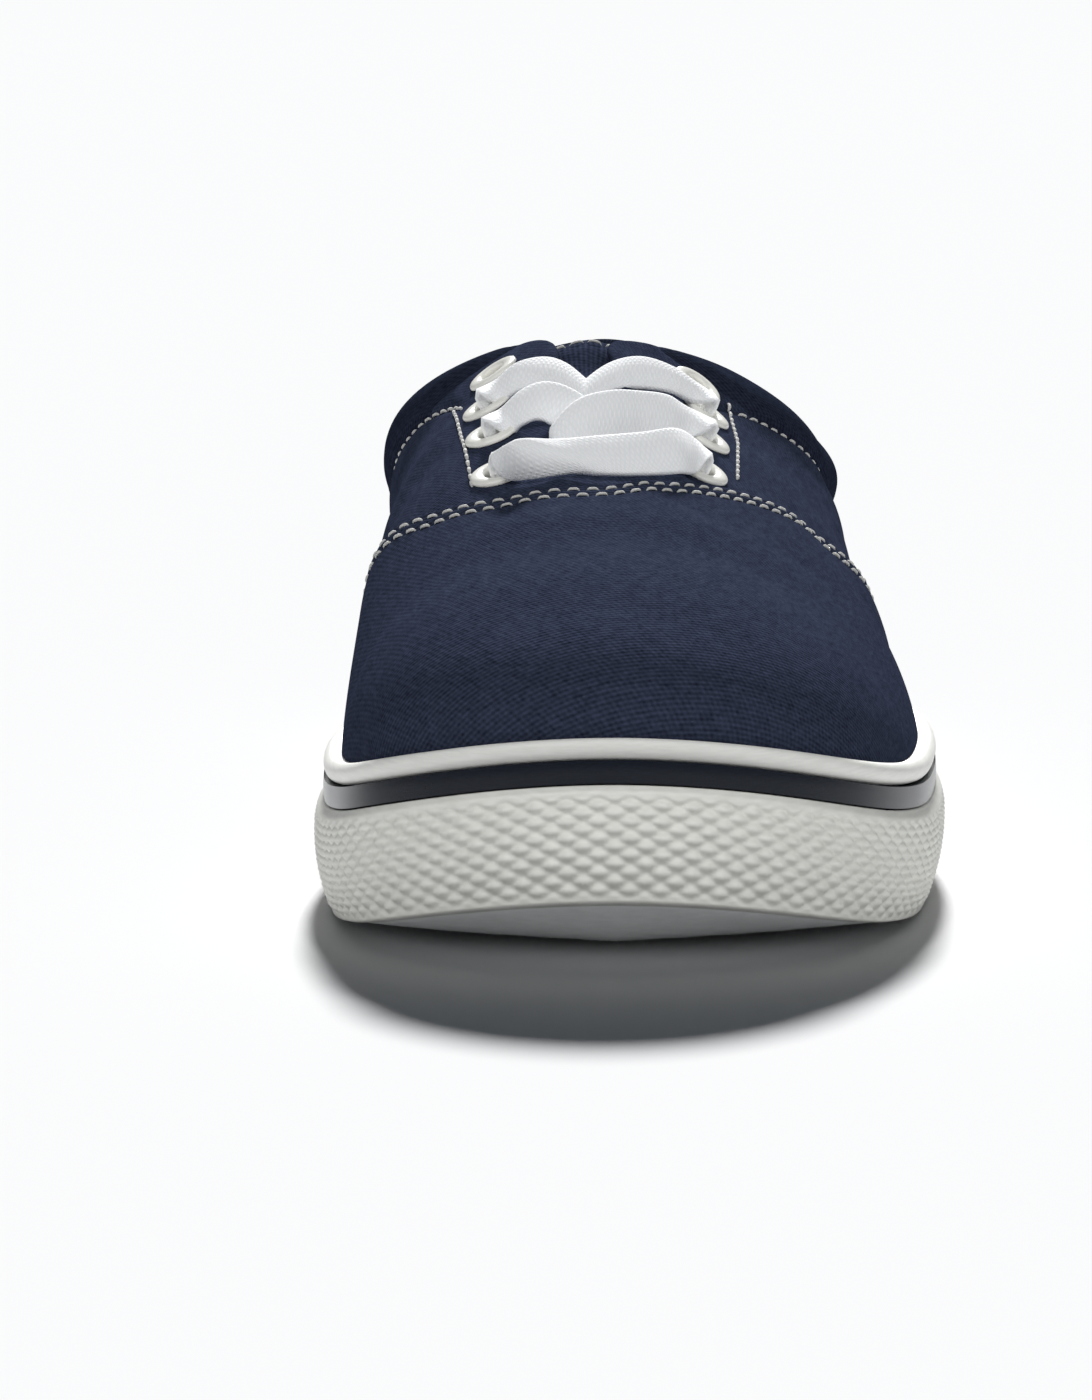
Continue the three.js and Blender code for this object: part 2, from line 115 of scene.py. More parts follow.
# How far the stitched row lies below the opening edge, by the edge's own distance back.
COLLAR_ROW_BACK = [157, 175, 192, 215, 250, 282]
COLLAR_ROW_DOWN = [19.5, 25, 29, 24, 20, 20]
COLLAR_FRONT = 166
BACK_SEAM_HALF = 0.004
COLLAR_CROWN = 1.9
COLLAR_INSIDE = 0.7
COLLAR_RECESS = 0.6

# Eyelets and lace.
EYELET_FLANGE = 5.0
EYELET_BARREL = 3.1
EYELET_BORE = 2.4
EYELET_PROUD = 1.0
LACE_WIDTH = 8.4
LACE_THICK = 1.6
LACE_CLEAR = 0.2
TONGUE_THICK = 3
TONGUE_LOWERED = 1.2
TONGUE_ARCH_POWER = 1.5

# Camera: focal length and sensor, place in millimetres and tilt from straight down in degrees.
CAMERA_LENS = 158.1
CAMERA_SENSOR = 36
CAMERA_PLACE = (-14.757, -1099.8, 169.3)
CAMERA_TILT = 82.5

# Studio: strength of the sky, of the key behind the shoe, of the two fills in front and of
# the low fill that reaches only the sole.
SKY = 0.07
KEY = 5.75
FILL = 0.95
FILL_LOW = 1.5


def table(columns, rows):
    return {name: np.array(values, float) for name, values in zip(columns.split(), zip(*rows))}


# One row for each section round the shoe, from the toe to the heel on either side.
# back, side: sole outline. openBack, openSide, openUp: edge of the throat and collar.
# rise, lean: length and outward lean of the wall above the feather line.
# reach, dip, aim: length, slope and plan direction of the surface below the opening.
COLUMNS = "back side openBack openSide openUp rise lean reach dip aim"
TOE = [(0, -4, 101, -5.8, 69.4, 20, 0.12, 46, 14, 0)]
MEDIAL = [
    (6, -27, 101.6, -8.4, 69.6, 20, 0.12, 44, 15, 10),
    (22, -44, 103.5, -10.4, 70.4, 21, 0.03, 40, 17, 22),
    (48, -51.5, 107.5, -11.6, 71.6, 23, -0.04, 34, 20, 36),
    (78, -53.5, 117, -12.2, 75, 26, -0.04, 33, 20, 52),
    (108, -51.6, 131, -12.8, 79.8, 31, 0.02, 33, 20, 68),
    (140, -47.5, 147, -13.6, 84.5, 32, 0.12, 33, 25, 82),
    (168, -44.4, 161, -14.6, 88, 30, 0.22, 34, 28, 90),
    (188, -43, 172, -20, 86.9, 27, 0.3, 33, 32, 92),
    (210, -42, 190, -30.5, 81.2, 23, 0.33, 27, 44, 92),
    (238, -41, 217, -38.5, 70.5, 17, 0.32, 17, 66, 92),
    (264, -37, 247, -35, 69, 15, 0.24, 14, 80, 106),
    (286, -24.5, 272, -21.5, 75, 16, 0.2, 16, 86, 140),
]
HEEL = [(296, -2.5, 281.5, -2.5, 78, 17, 0.18, 17, 86, 180)]
LATERAL = [
    (6, 19, 101.6, -3.2, 69.6, 20, 0.12, 44, 15, 10),
    (22, 36.5, 103.5, -1.2, 70.4, 20, 0, 40, 18, 22),
    (48, 47.5, 107.5, -0.2, 71.6, 20, -0.1, 36, 22, 36),
    (78, 52.3, 117, 0.2, 75, 20, -0.18, 33, 26, 52),
    (108, 53.5, 131, -0.2, 79.8, 21, -0.18, 34, 28, 68),
    (140, 51, 147, -1, 84.5, 24, -0.1, 36, 30, 82),
    (168, 47.3, 161, -1.8, 88, 26, 0.1, 42, 32, 90),
    (188, 45, 172, 6.5, 86.4, 26, 0.2, 38, 36, 90),
    (210, 42.5, 190, 20.2, 80.2, 22, 0.3, 31, 46, 90),
    (238, 39.5, 217, 35, 67, 16, 0.26, 15, 72, 90),
    (264, 33.5, 247, 31, 66.5, 14, 0.22, 13, 82, 102),
    (286, 20, 272, 17, 74, 16, 0.2, 16, 86, 140),
]
RETURN = [(*row[:-1], 360 - row[-1]) for row in reversed(LATERAL)]
SECTIONS = table(COLUMNS, TOE + MEDIAL + HEEL + RETURN)
AROUND = len(SECTIONS["back"])

TONGUE = table("back side half crest drop", [
    (84, -6.5, 17, 61.9, 3),
    (95, -7.5, 19, 64.3, 3.5),
    (104, -8, 21, 66.9, 4.8),
    (118, -8.5, 23, 71.8, 6.8),
    (134, -8, 25.5, 77.7, 11.3),
    (150, -8, 27.5, 82.8, 17),
    (166, -7.5, 29, 85.7, 19.5),
    (173, -7, 29, 85.5, 17.5),
])

# Where each eyelet lies: side, back. These and the facing rows below are an open fault.
EYELETS = {
    "eyelet_medial_1": (-23, 107),
    "eyelet_medial_2": (-24.2, 125),
    "eyelet_medial_3": (-25.1, 143),
    "eyelet_medial_4": (-24.2, 161),
    "eyelet_lateral_1": (12.2, 114),
    "eyelet_lateral_2": (13.3, 133),
    "eyelet_lateral_3": (13.8, 151),
    "eyelet_lateral_4": (12.6, 165),
}

# Single rows of stitches down the two facings, from (side, back) to (side, back).
FACING_ROWS = {
    "medial": [(-31.3, 156.4), (-29.4, 130), (-27.4, 104.5)],
    "lateral": [(18.4, 167.8), (19.4, 145), (18.6, 118.8)],
}

# Soft folds in the canvas: a line from one plan place to another, its half width in
# millimetres and its height, negative for a trough.
FOLDS = [
    ((-30, 62), (22, 66), 9, -0.7),
    ((-24, 78), (20, 82), 7, 0.5),
    ((-44, 66), (-36, 96), 6, -0.7),
    ((38, 62), (30, 92), 6, -0.6),
    ((-47, 118), (-36, 132), 5, -0.9),
    ((-45, 132), (-34, 146), 5, 0.6),
    ((46, 112), (30, 128), 6, -0.8),
    ((46, 132), (30, 146), 6, 0.6),
    ((-20, 30), (14, 24), 8, -0.5),
]


# ---------------------------------------------------------------- curves and surfaces
def unit(vectors):
    return vectors / np.maximum(np.linalg.norm(vectors, axis=-1, keepdims=True), 1e-12)


def clamp(value):
    return np.clip(value, 0, 1)


def smooth(start, end, value):
    t = clamp((value - start) / (end - start))
    return t * t * (3 - 2 * t)


def points(side, back, up):
    return np.stack(np.broadcast_arrays(side, back - LENGTH / 2, up), -1).astype(float)


def back_of(place):
    return place[..., 1] + LENGTH / 2


def along(column, u):
    """Closed Catmull-Rom curve through one column of the sections."""
    values = SECTIONS[column]
    turn = np.mod(u, 1) * AROUND
    i = np.floor(turn).astype(int)
    t = turn - i
    a, b, c, d = (values[(i + step) % AROUND] for step in (-1, 0, 1, 2))
    m1 = (c - a) / 2
    m2 = (d - b) / 2
    return ((2 * t**3 - 3 * t**2 + 1) * b + (t**3 - 2 * t**2 + t) * m1
            + (3 * t**2 - 2 * t**3) * c + (t**3 - t**2) * m2)


def aim_at(u):
    turn = np.mod(u, 1) * AROUND
    return np.radians(np.interp(turn, np.arange(AROUND + 1), [*SECTIONS["aim"], 360]))


def outward(u):
    step = 1e-3
    dx = along("side", u + step) - along("side", u - step)
    dy = along("back", u + step) - along("back", u - step)
    return unit(np.stack([-dy, dx, 0 * dx], -1))


def outline(u, inset):
    return points(along("side", u), along("back", u), 0) - outward(u) * np.asarray(inset)[..., None]


def spring(back):
    return TOE_SPRING * clamp((SPRING_BACK - back) / SPRING_BACK) ** SPRING_POWER


def band_edge(back):
    return spring(back) + HEEL_BEVEL * clamp((back - HEEL_BEVEL_BACK) / (LENGTH - HEEL_BEVEL_BACK)) ** 2


def wall_up(back, height):
    return band_edge(back) + height + HEEL_WALL * smooth(120, LENGTH, back) * (height / BEAD_TOP)


def underside(back):
    rocker = ROCKER_RISE * clamp((ROCKER_BACK - back) / ROCKER_BACK) ** ROCKER_POWER
    arch = ARCH_RISE * np.sin(np.pi * clamp((back - ARCH_FRONT) / (ARCH_REAR - ARCH_FRONT))) ** 2
    return rocker + arch + band_edge(np.maximum(back, SPRING_BACK))


def cup_floor(back):
    return FLOOR_FRONT + spring(back) + FLOOR_HEEL_RISE * smooth(110, 240, back)


def collar_share(u):
    return smooth(PAD_FRONT, PAD_FULL, along("openBack", u))


def bare_skin(u, v):
    """Outer surface of the upper: v from the feather line, 0, to the opening edge, 1."""
    u, v = np.broadcast_arrays(np.asarray(u, float), np.asarray(v, float))
    foot = outline(u, FEATHER_INSET)
    foot[..., 2] = wall_up(back_of(foot), BEAD_TOP)
    rise = along("rise", u)
    foot_handle = foot + outward(u) * (rise * along("lean", u))[..., None]
    foot_handle[..., 2] += rise
    top = points(along("openSide", u), along("openBack", u), along("openUp", u))
    aim = aim_at(u)
    dip = np.radians(along("dip", u))
    away = np.stack([-np.sin(aim) * np.cos(dip), -np.cos(aim) * np.cos(dip), -np.sin(dip)], -1)
    top_handle = top + away * along("reach", u)[..., None]
    t = v[..., None]
    return ((1 - t)**3 * foot + 3 * (1 - t)**2 * t * foot_handle
            + 3 * (1 - t) * t**2 * top_handle + t**3 * top)


def skin_normal(u, v):
    step = 2e-3
    ahead = bare_skin(u + step, v) - bare_skin(u - step, v)
    up = bare_skin(u, np.minimum(1, v + step)) - bare_skin(u, np.maximum(0, v - step))
    return unit(np.cross(up, ahead))


def pad_bulge(u, v):
    share = np.sin(np.pi * clamp((v - PAD_START) / (1 - PAD_START))) ** 1.2
    return PAD_BULGE * collar_share(u) * share


def folds(place):
    """Height of the listed folds at a place on the skin."""
    total = 0
    for start, end, width, high in FOLDS:
        line = np.subtract(end, start)
        offset = np.stack([place[..., 0], back_of(place)], -1) - start
        share = clamp(offset @ line / (line @ line))
        distance = np.linalg.norm(offset - share[..., None] * line, axis=-1)
        total = total + high * np.exp(-(distance / width) ** 2)
    return total


def skin(u, v, depth=0):
    u, v = np.broadcast_arrays(np.asarray(u, float), np.asarray(v, float))
    bare = bare_skin(u, v)
    relief = folds(bare) * smooth(0, 0.2, v) * smooth(1, 0.75, v)
    return bare + skin_normal(u, v) * (pad_bulge(u, v) + relief - depth)[..., None]


def wall_depth(u, v):
    return CLOTH + PAD_DEPTH * collar_share(u) * smooth(PAD_START, 0.9, v)


def landing(side, back):
    """The (u, v) of the skin with a given plan place, found by Newton steps."""
    u = 0.2 if side < along("openSide", np.array(0.0)) else 0.8
    v = 0.85
    step = 1e-4
    for _ in range(20):
        here = skin(u, v)
        du = (skin(u + step, v) - here) / step
        dv = (skin(u, v + step) - here) / step
        ex = side - here[0]
        ey = back - back_of(here)
        size = du[0] * dv[1] - du[1] * dv[0]
        u += np.clip((ex * dv[1] - ey * dv[0]) / size, -0.03, 0.03)
        v = min(0.98, v + np.clip((du[0] * ey - du[1] * ex) / size, -0.1, 0.1))
    return u, v


# ---------------------------------------------------------------- mesh building
def new_object(name, vertices, faces, materials=(), slots=None, uv=None):
    mesh = bpy.data.meshes.new(name)
    mesh.from_pydata((np.asarray(vertices, float) * MM).tolist(), [], faces)
    mesh.polygons.foreach_set("use_smooth", np.ones(len(mesh.polygons), bool))
    for material in materials:
        mesh.materials.append(material)
    if slots is not None:
        mesh.polygons.foreach_set("material_index", np.asarray(slots, np.int32))
    if uv is not None:
        mesh.uv_layers.new(name="weave").data.foreach_set("uv", np.asarray(uv, float).ravel())
    mesh.update()
    obj = bpy.data.objects.new(name, mesh)
    bpy.context.scene.collection.objects.link(obj)
    return obj


def grid_object(name, grid, wrap_rows=False, wrap_columns=False, materials=(), slots=None, uv=None):
    """A grid of points as quads. uv has the grid's shape, with one more row or column where it wraps.

    slots holds a material number for each row of quads.
    """
    rows, columns = grid.shape[:2]
    r, c = np.meshgrid(np.arange(rows if wrap_rows else rows - 1),
                       np.arange(columns if wrap_columns else columns - 1), indexing="ij")
    corners = [(r, c), (r, c + 1), (r + 1, c + 1), (r + 1, c)]
    quads = np.stack([(a % rows) * columns + b % columns for a, b in corners], -1).reshape(-1, 4)
    loops = None
    if uv is not None:
        loops = np.stack([uv[a, b] for a, b in corners], -2).reshape(-1, 2)
    numbers = None
    if slots is not None:
        numbers = np.repeat(slots, c.shape[1])
    return new_object(name, grid.reshape(-1, 3), quads.tolist(), materials, numbers, loops)


def close_up(obj):
    """Welds a mesh and fills its open ends."""
    cap = bmesh.new()
    cap.from_mesh(obj.data)
    bmesh.ops.remove_doubles(cap, verts=cap.verts, dist=1e-6)
    bmesh.ops.holes_fill(cap, edges=cap.edges)
    bmesh.ops.recalc_face_normals(cap, faces=cap.faces)
    cap.to_mesh(obj.data)
    cap.free()


def join(objects, name):
    bpy.ops.object.select_all(action="DESELECT")
    for obj in objects:
        obj.select_set(True)
    bpy.context.view_layer.objects.active = objects[0]
    bpy.ops.object.join()
    objects[0].name = name
    return objects[0]


def carve(obj, tool):
    """Cuts one object by another and removes the tool."""
    cut = obj.modifiers.new("cut", "BOOLEAN")
    cut.operation = "DIFFERENCE"
    cut.solver = "MANIFOLD"
    cut.object = tool
    bpy.context.view_layer.objects.active = obj
    bpy.ops.object.modifier_apply(modifier="cut")
    bpy.data.objects.remove(tool)


def flat_layout(grid, grain):
    """Where each point of a cloth grid lies, in millimetres, once the cloth is laid flat.

    The second coordinate follows the grain direction as well as it can.
    """
    rows, columns = grid.shape[:2]
    cloth = grid_object("layout", grid)
    bpy.context.view_layer.objects.active = cloth
    cloth.select_set(True)
    bpy.ops.object.mode_set(mode="EDIT")
    bpy.ops.mesh.select_all(action="SELECT")
    bpy.ops.uv.unwrap(method="CONFORMAL", margin=0)
    bpy.ops.object.mode_set(mode="OBJECT")
    mesh = cloth.data
    loops = np.empty(len(mesh.loops) * 2)
    mesh.uv_layers.active.data.foreach_get("uv", loops)
    owners = np.empty(len(mesh.loops), np.int32)
    mesh.loops.foreach_get("vertex_index", owners)
    flat = np.empty((rows * columns, 2))
    flat[owners] = loops.reshape(-1, 2)
    flat = flat.reshape(rows, columns, 2)
    bpy.data.objects.remove(cloth)
    real = np.linalg.norm(np.diff(grid, axis=0), axis=-1).sum()
    laid = np.linalg.norm(np.diff(flat, axis=0), axis=-1).sum()
    flat = (flat - flat.mean((0, 1))) * (real / laid)
    run = (grid @ grain).ravel()
    slope = np.linalg.lstsq(flat.reshape(-1, 2), run - run.mean(), rcond=None)[0]
    across = np.array([slope[1], -slope[0]])
    turn = np.stack([unit(across), unit(slope)], -1)
    return flat @ turn


def tube_arc(path):
    """Distance of each point along a polyline."""
    return np.concatenate([[0], np.cumsum(np.linalg.norm(np.diff(path, axis=0), axis=-1))])


def resample(path, normals, spacing, start):
    """Places, directions and normals a fixed distance apart along a path."""
    length = tube_arc(path)
    stops = np.arange(start, length[-1], spacing)

    def at(values, where):
        return np.stack([np.interp(where, length, values[:, k]) for k in range(3)], -1)

    ahead = unit(at(path, stops + 0.3) - at(path, stops - 0.3))
    return at(path, stops), ahead, unit(at(normals, stops))


# ---------------------------------------------------------------- materials
class Surface:
    """A Principled material and short ways to add procedural nodes to it."""

    def __init__(self, name, roughness, sheen=0.0, coat=0.0):
        self.material = bpy.data.materials.new(name)
        self.material.use_nodes = True
        self.tree = self.material.node_tree
        self.shader = self.tree.nodes["Principled BSDF"]
        self.shader.inputs["Roughness"].default_value = roughness
        self.shader.inputs["Sheen Weight"].default_value = sheen
        self.shader.inputs["Coat Weight"].default_value = coat

    def node(self, kind, links=None, output=0, **settings):
        made = self.tree.nodes.new("ShaderNode" + kind)
        for name, value in settings.items():
            setattr(made, name, value)
        for key, value in (links or {}).items():
            if isinstance(value, bpy.types.NodeSocket):
                self.tree.links.new(value, made.inputs[key])
            else:
                made.inputs[key].default_value = value
        return made.outputs[output]

    def math(self, operation, a, b=0.0):
        return self.node("Math", {0: a, 1: b}, operation=operation)

    def noise(self, scale, detail=3.0, vector=None):
        links = {"Scale": scale, "Detail": detail}
        if vector is not None:
            links["Vector"] = vector
        return self.node("TexNoise", links)

    def ramp(self, factor, stops):
        made = self.tree.nodes.new("ShaderNodeValToRGB")
        for i, (place, color) in enumerate(stops):
            stop = made.color_ramp.elements[i] if i < 2 else made.color_ramp.elements.new(place)
            stop.position = place
            stop.color = (*color, 1)
        self.tree.links.new(factor, made.inputs[0])
        return made.outputs[0]

    def wave(self, vector, direction, pitch):
        """A sine, 0 to 1, across a flat layout in millimetres."""
        turned = self.node("VectorMath", {0: vector, 1: (*direction, 0)}, "Value", operation="DOT_PRODUCT")
        phase = self.math("MULTIPLY", turned, 2 * math.pi / pitch)
        return self.math("MULTIPLY_ADD", self.math("SINE", phase), 0.5)

    def color(self, socket):
        self.tree.links.new(socket, self.shader.inputs["Base Color"])

    def bump(self, height, distance, strength=1.0):
        bumped = self.node("Bump", {"Height": height, "Distance": distance * MM, "Strength": strength})
        self.tree.links.new(bumped, self.shader.inputs["Normal"])


def twill(name, dark, light, angle, pitch=0.78):
    """Cotton twill: slanting ribs broken into short floats, with faded patches and lint."""
    cloth = Surface(name, 1.0)
    cloth.shader.inputs["Specular IOR Level"].default_value = 0.0
    place = cloth.node("UVMap", uv_map="weave")
    slant = math.radians(angle)
    rib = cloth.wave(place, (math.cos(slant), math.sin(slant)), pitch)
    float_run = cloth.wave(place, (0.35 * math.cos(slant) - math.sin(slant),
                                   0.35 * math.sin(slant) + math.cos(slant)), pitch * 1.15)
    weave = cloth.math("ADD", cloth.math("MULTIPLY", rib, 0.65), cloth.math("MULTIPLY", float_run, 0.35))
    patches = cloth.noise(45, 4)
    fuzz = cloth.noise(1.4, 4, place)
    lint = cloth.math("GREATER_THAN", cloth.noise(1.1, 1, place), 0.78)
    shade = cloth.math("ADD", cloth.math("MULTIPLY", weave, 0.28), cloth.math("MULTIPLY", fuzz, 0.55))
    shade = cloth.math("ADD", shade, cloth.math("MULTIPLY", patches, 0.4))
    shade = cloth.math("ADD", shade, cloth.math("MULTIPLY", lint, 0.25))
    cloth.color(cloth.ramp(shade, [(0.36, dark), (0.86, light)]))
    cloth.bump(cloth.math("ADD", weave, cloth.math("MULTIPLY", fuzz, 1.3)), 0.09, 0.8)
    return cloth.material


def rubber(name, dark, light, roughness):
    """Moulded rubber with a fine satin grain and faint clouding."""
    body = Surface(name, roughness)
    body.shader.inputs["Specular IOR Level"].default_value = 0.4
    body.color(body.ramp(body.noise(38, 4), [(0.35, dark), (0.65, light)]))
    body.bump(body.noise(2600, 2), 0.03, 0.4)
    return body.material


def gloss_stripe():
    paint = Surface("navy_gloss", 0.2)
    paint.shader.inputs["Specular IOR Level"].default_value = 0.22
    paint.color(paint.ramp(paint.noise(60), [(0.3, (0.0035, 0.006, 0.012)), (0.7, (0.006, 0.010, 0.019))]))
    paint.bump(paint.noise(300, 2), 0.04, 0.3)
    return paint.material


def enamel():
    paint = Surface("ivory_enamel", 0.3, coat=0.3)
    paint.color(paint.ramp(paint.noise(500), [(0.3, (0.88, 0.87, 0.80)), (0.7, (0.92, 0.91, 0.86))]))
    paint.bump(paint.noise(900, 2), 0.02, 0.4)
    return paint.material


def cotton(name, dark, light, pitch):
    """Flat woven cotton: rows of small chevrons across the lace."""
    cloth = Surface(name, 0.9)
    place = cloth.node("UVMap", uv_map="weave")
    left = cloth.wave(place, (0.8, 0.6), pitch)
    right = cloth.wave(place, (0.8, -0.6), pitch)
    weave = cloth.math("MULTIPLY", left, right)
    fuzz = cloth.noise(2.0, 3, place)
    shade = cloth.math("ADD", cloth.math("MULTIPLY", weave, 0.7), cloth.math("MULTIPLY", fuzz, 0.4))
    cloth.color(cloth.ramp(shade, [(0.1, dark), (0.6, light)]))
    cloth.bump(cloth.math("ADD", weave, cloth.math("MULTIPLY", fuzz, 0.3)), 0.09, 0.7)
    return cloth.material


def thread():
    cloth = Surface("natural_thread", 0.8, sheen=0.2)
    twist = cloth.noise(1500, 2)
    cloth.color(cloth.ramp(twist, [(0.3, (0.42, 0.42, 0.40)), (0.7, (0.75, 0.75, 0.72))]))
    cloth.bump(twist, 0.1, 0.6)
    return cloth.material


CANVAS = twill("navy_twill", (0.012, 0.015, 0.028), (0.048, 0.059, 0.099), 82)
COLLAR_CANVAS = twill("collar_twill", (0.006, 0.008, 0.015), (0.027, 0.033, 0.057), 20, 0.95)
LINING = twill("lining_cloth", (0.16, 0.15, 0.14), (0.33, 0.31, 0.29), 45, 0.6)
# The sole's band, tread and bead are one off-white rubber in three tints: the band's darker tint is painted
# shade on its upright wall, the bead's lighter tint is painted light on its upward face, and the tread's
# lighter tint is painted light on the toe's underside.
BAND_RUBBER_PAINTED_SHADE = rubber("band_rubber", (0.60, 0.60, 0.56), (0.66, 0.66, 0.62), 0.5)
TREAD_RUBBER_PAINTED_LIGHT = rubber("tread_rubber", (0.80, 0.81, 0.81), (0.86, 0.87, 0.87), 0.55)
BEAD_RUBBER_PAINTED_LIGHT = rubber("bead_rubber", (0.80, 0.80, 0.76), (0.86, 0.86, 0.82), 0.42)
STRIPE = gloss_stripe()
ENAMEL = enamel()
LACE_COTTON = cotton("lace_cotton", (0.88, 0.90, 0.92), (0.97, 0.97, 0.97), 0.72)
THREAD = thread()


def part(obj, slot, *nodes):
    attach(obj, "root")
    if nodes:
        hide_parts(*nodes)
    return obj


# ---------------------------------------------------------------- sole
def even_turns(count):
    """Values of u equally far apart along the sole's outline, and the outline's length."""
    fine = np.linspace(0, 1, 4001)
    length = tube_arc(outline(fine, 0 * fine))
    return np.interp(np.arange(count) / count * length[-1], length, fine), length[-1]


def wall_inset(height):
    """The sole wall's profile: tucked in below, widest at 13, a chamfer at the top."""
    low = 2.5 * clamp((13 - height) / 12.3) ** 2
    lip = 0.2 * clamp((height - 13) / 4) ** 2
    return low + lip + 1.2 * smooth(16.9, BAND_TOP + 0.2, height)


def wall_ring(u, inset, height):
    ring = outline(u, inset + 0 * u)
    ring[..., 2] = wall_up(back_of(ring), height)
    return ring


def toward_spine(u, inset, share, up):
    """A ring part of the way from the outline in to the sole's spine; up gives its height from back."""
    half = np.minimum(u, 1 - u) * 2
    spine = points(-3 * (1 - half), SPINE_FRONT + (SPINE_REAR - SPINE_FRONT) * half, 0)
    ring = outline(u, inset + 0 * u) * (1 - share) + spine * share
    ring[..., 2] = up(back_of(ring))
    return ring


def tread_row(u, share):
    """Underside of the sole: the toe lifts sooner at its edges than in the middle."""
    edge = (1 - share) ** 2.5
    return toward_spine(u, 5, share, lambda b: underside(b) * (1 - edge) + (band_edge(b) + 0.1) * edge)


def make_band():
    """The outer wall of the sole with its lattice of diamond bumps."""
    u, around = even_turns(1560)
    bumps = round(around / BUMP_PITCH)
    p = np.arange(len(u)) / len(u) * bumps
    heights = np.concatenate([[0.3], np.linspace(BUMP_FROM, BUMP_TO, 46), np.linspace(16.9, BAND_TOP, 6)])
    rings = [tread_row(u, 0), outline(u, 3.6 + 0 * u)]
    rings[1][..., 2] = band_edge(back_of(rings[1])) + 0.1
    for height in heights:
        ring = wall_ring(u, wall_inset(height), height)
        r = (height - BUMP_FROM) / BUMP_ROW
        lattice = np.abs(np.cos(np.pi * (p + r)) * np.cos(np.pi * (p - r))) ** 0.7
        fade = float(smooth(BUMP_FROM, 1.6, height) * smooth(BUMP_TO, BUMP_TO - 0.7, height))
        rings.append(ring + outward(u) * ((lattice - 0.6) * fade * BUMP_HIGH)[:, None])
    rings.append(wall_ring(u, CUP_INSET, BAND_TOP))
    band = grid_object("sole_band", np.array(rings), wrap_columns=True, materials=[BAND_RUBBER_PAINTED_SHADE])
    return part(band, "band_rubber", "outsole")


def make_groove(back):
    left = np.interp(back, [r[0] for r in MEDIAL], [r[1] for r in MEDIAL]) + GROOVE_BORDER
    right = np.interp(back, [r[0] for r in LATERAL], [r[1] for r in LATERAL]) - GROOVE_BORDER
    middle = (left + right) / 2
    plan = [(left, back), (middle, back - GROOVE_POINT), (right, back), (right, back + GROOVE_WIDTH),
            (middle, back - GROOVE_POINT + GROOVE_WIDTH), (left, back + GROOVE_WIDTH)]
    rings = np.array([[points(side, rear, up) for side, rear in plan] for up in (-5, GROOVE_DEPTH)])
    groove = grid_object("groove", rings, wrap_columns=True)
    close_up(groove)
    return groove


def make_tread():
    """The underside with its chevron grooves, and the floor of the cup."""
    u = np.arange(240) / 240
    shares = [0.97, 0.85, 0.7, 0.55, 0.42, 0.3, 0.2, 0.1, 0.04, 0]
    rings = [tread_row(u, share) for share in shares]
    rings += [wall_ring(u, 3.2, 0.7), wall_ring(u, 2.6, 6), wall_ring(u, 2.6, 16), wall_ring(u, 4.0, 18.3)]
    rings += [toward_spine(u, CUP_INSET, share, cup_floor) for share in reversed(shares)]
    tread = grid_object("sole_tread", np.array(rings), wrap_columns=True, materials=[TREAD_RUBBER_PAINTED_LIGHT])
    close_up(tread)
    carve(tread, join([make_groove(back) for back in GROOVE_BACKS], "grooves"))
    tread.data.materials.clear()
    tread.data.materials.append(TREAD_RUBBER_PAINTED_LIGHT)
    tread.data.shade_smooth()
    tread.data.set_sharp_from_angle(angle=math.radians(40))
    return part(tread, "band_rubber")


def closed_ring(name, profile, material, slot, node):
    u, _ = even_turns(600)
    rings = np.array([wall_ring(u, inset, height) for inset, height in profile])
    ring = grid_object(name, rings, wrap_rows=True, wrap_columns=True, materials=[material])
    ring.data.set_sharp_from_angle(angle=math.radians(50))
    return part(ring, slot, node)


def make_stripe():
    belly = [(1.35 - 0.12 * math.sin(math.pi * t), STRIPE_BOTTOM + (STRIPE_TOP - STRIPE_BOTTOM) * t)
             for t in np.linspace(0, 1, 9)]
    back = [(CUP_INSET, STRIPE_TOP), (CUP_INSET, STRIPE_BOTTOM)]
    return closed_ring("foxing_stripe", belly + back, STRIPE, "stripe_rubber", "sole_stripe")


def make_bead():
    middle = (BEAD_BOTTOM + BEAD_TOP) / 2
    round_side = [(3.0 - 1.7 * math.cos(a), middle + 1.85 * math.sin(a))
                  for a in np.radians(range(-88, 96, 8))]
    back = [(CUP_INSET + 0.2, BEAD_TOP - 0.2), (CUP_INSET + 0.2, BEAD_BOTTOM)]
    return closed_ring("feather_bead", round_side + back, BEAD_RUBBER_PAINTED_LIGHT, "bead_rubber", "sole_bead")


def make_insole():
    u = np.arange(240) / 240
    shares = np.array([1, 0.97, 0.8, 0.6, 0.4, 0.25, 0.12, 0.03])
    low = [toward_spine(u, INSOLE_INSET, s, lambda b: cup_floor(b) + FOOTBED_GAP) for s in [*shares, 0]]
    top = [toward_spine(u, INSOLE_INSET, s, lambda b: cup_floor(b) + FOOTBED_GAP + INSOLE_THICK)
           for s in [0, *shares[::-1]]]
    rings = np.array(low + top)
    footbed = grid_object("footbed", rings, wrap_columns=True, materials=[LINING], uv=layout_plan(rings))
    close_up(footbed)
    return part(footbed, "lining", "insole")


def layout_plan(rings):
    """A flat layout straight from the plan, for level cloth."""
    return np.concatenate([rings, rings[:, :1]], 1)[..., :2].copy()


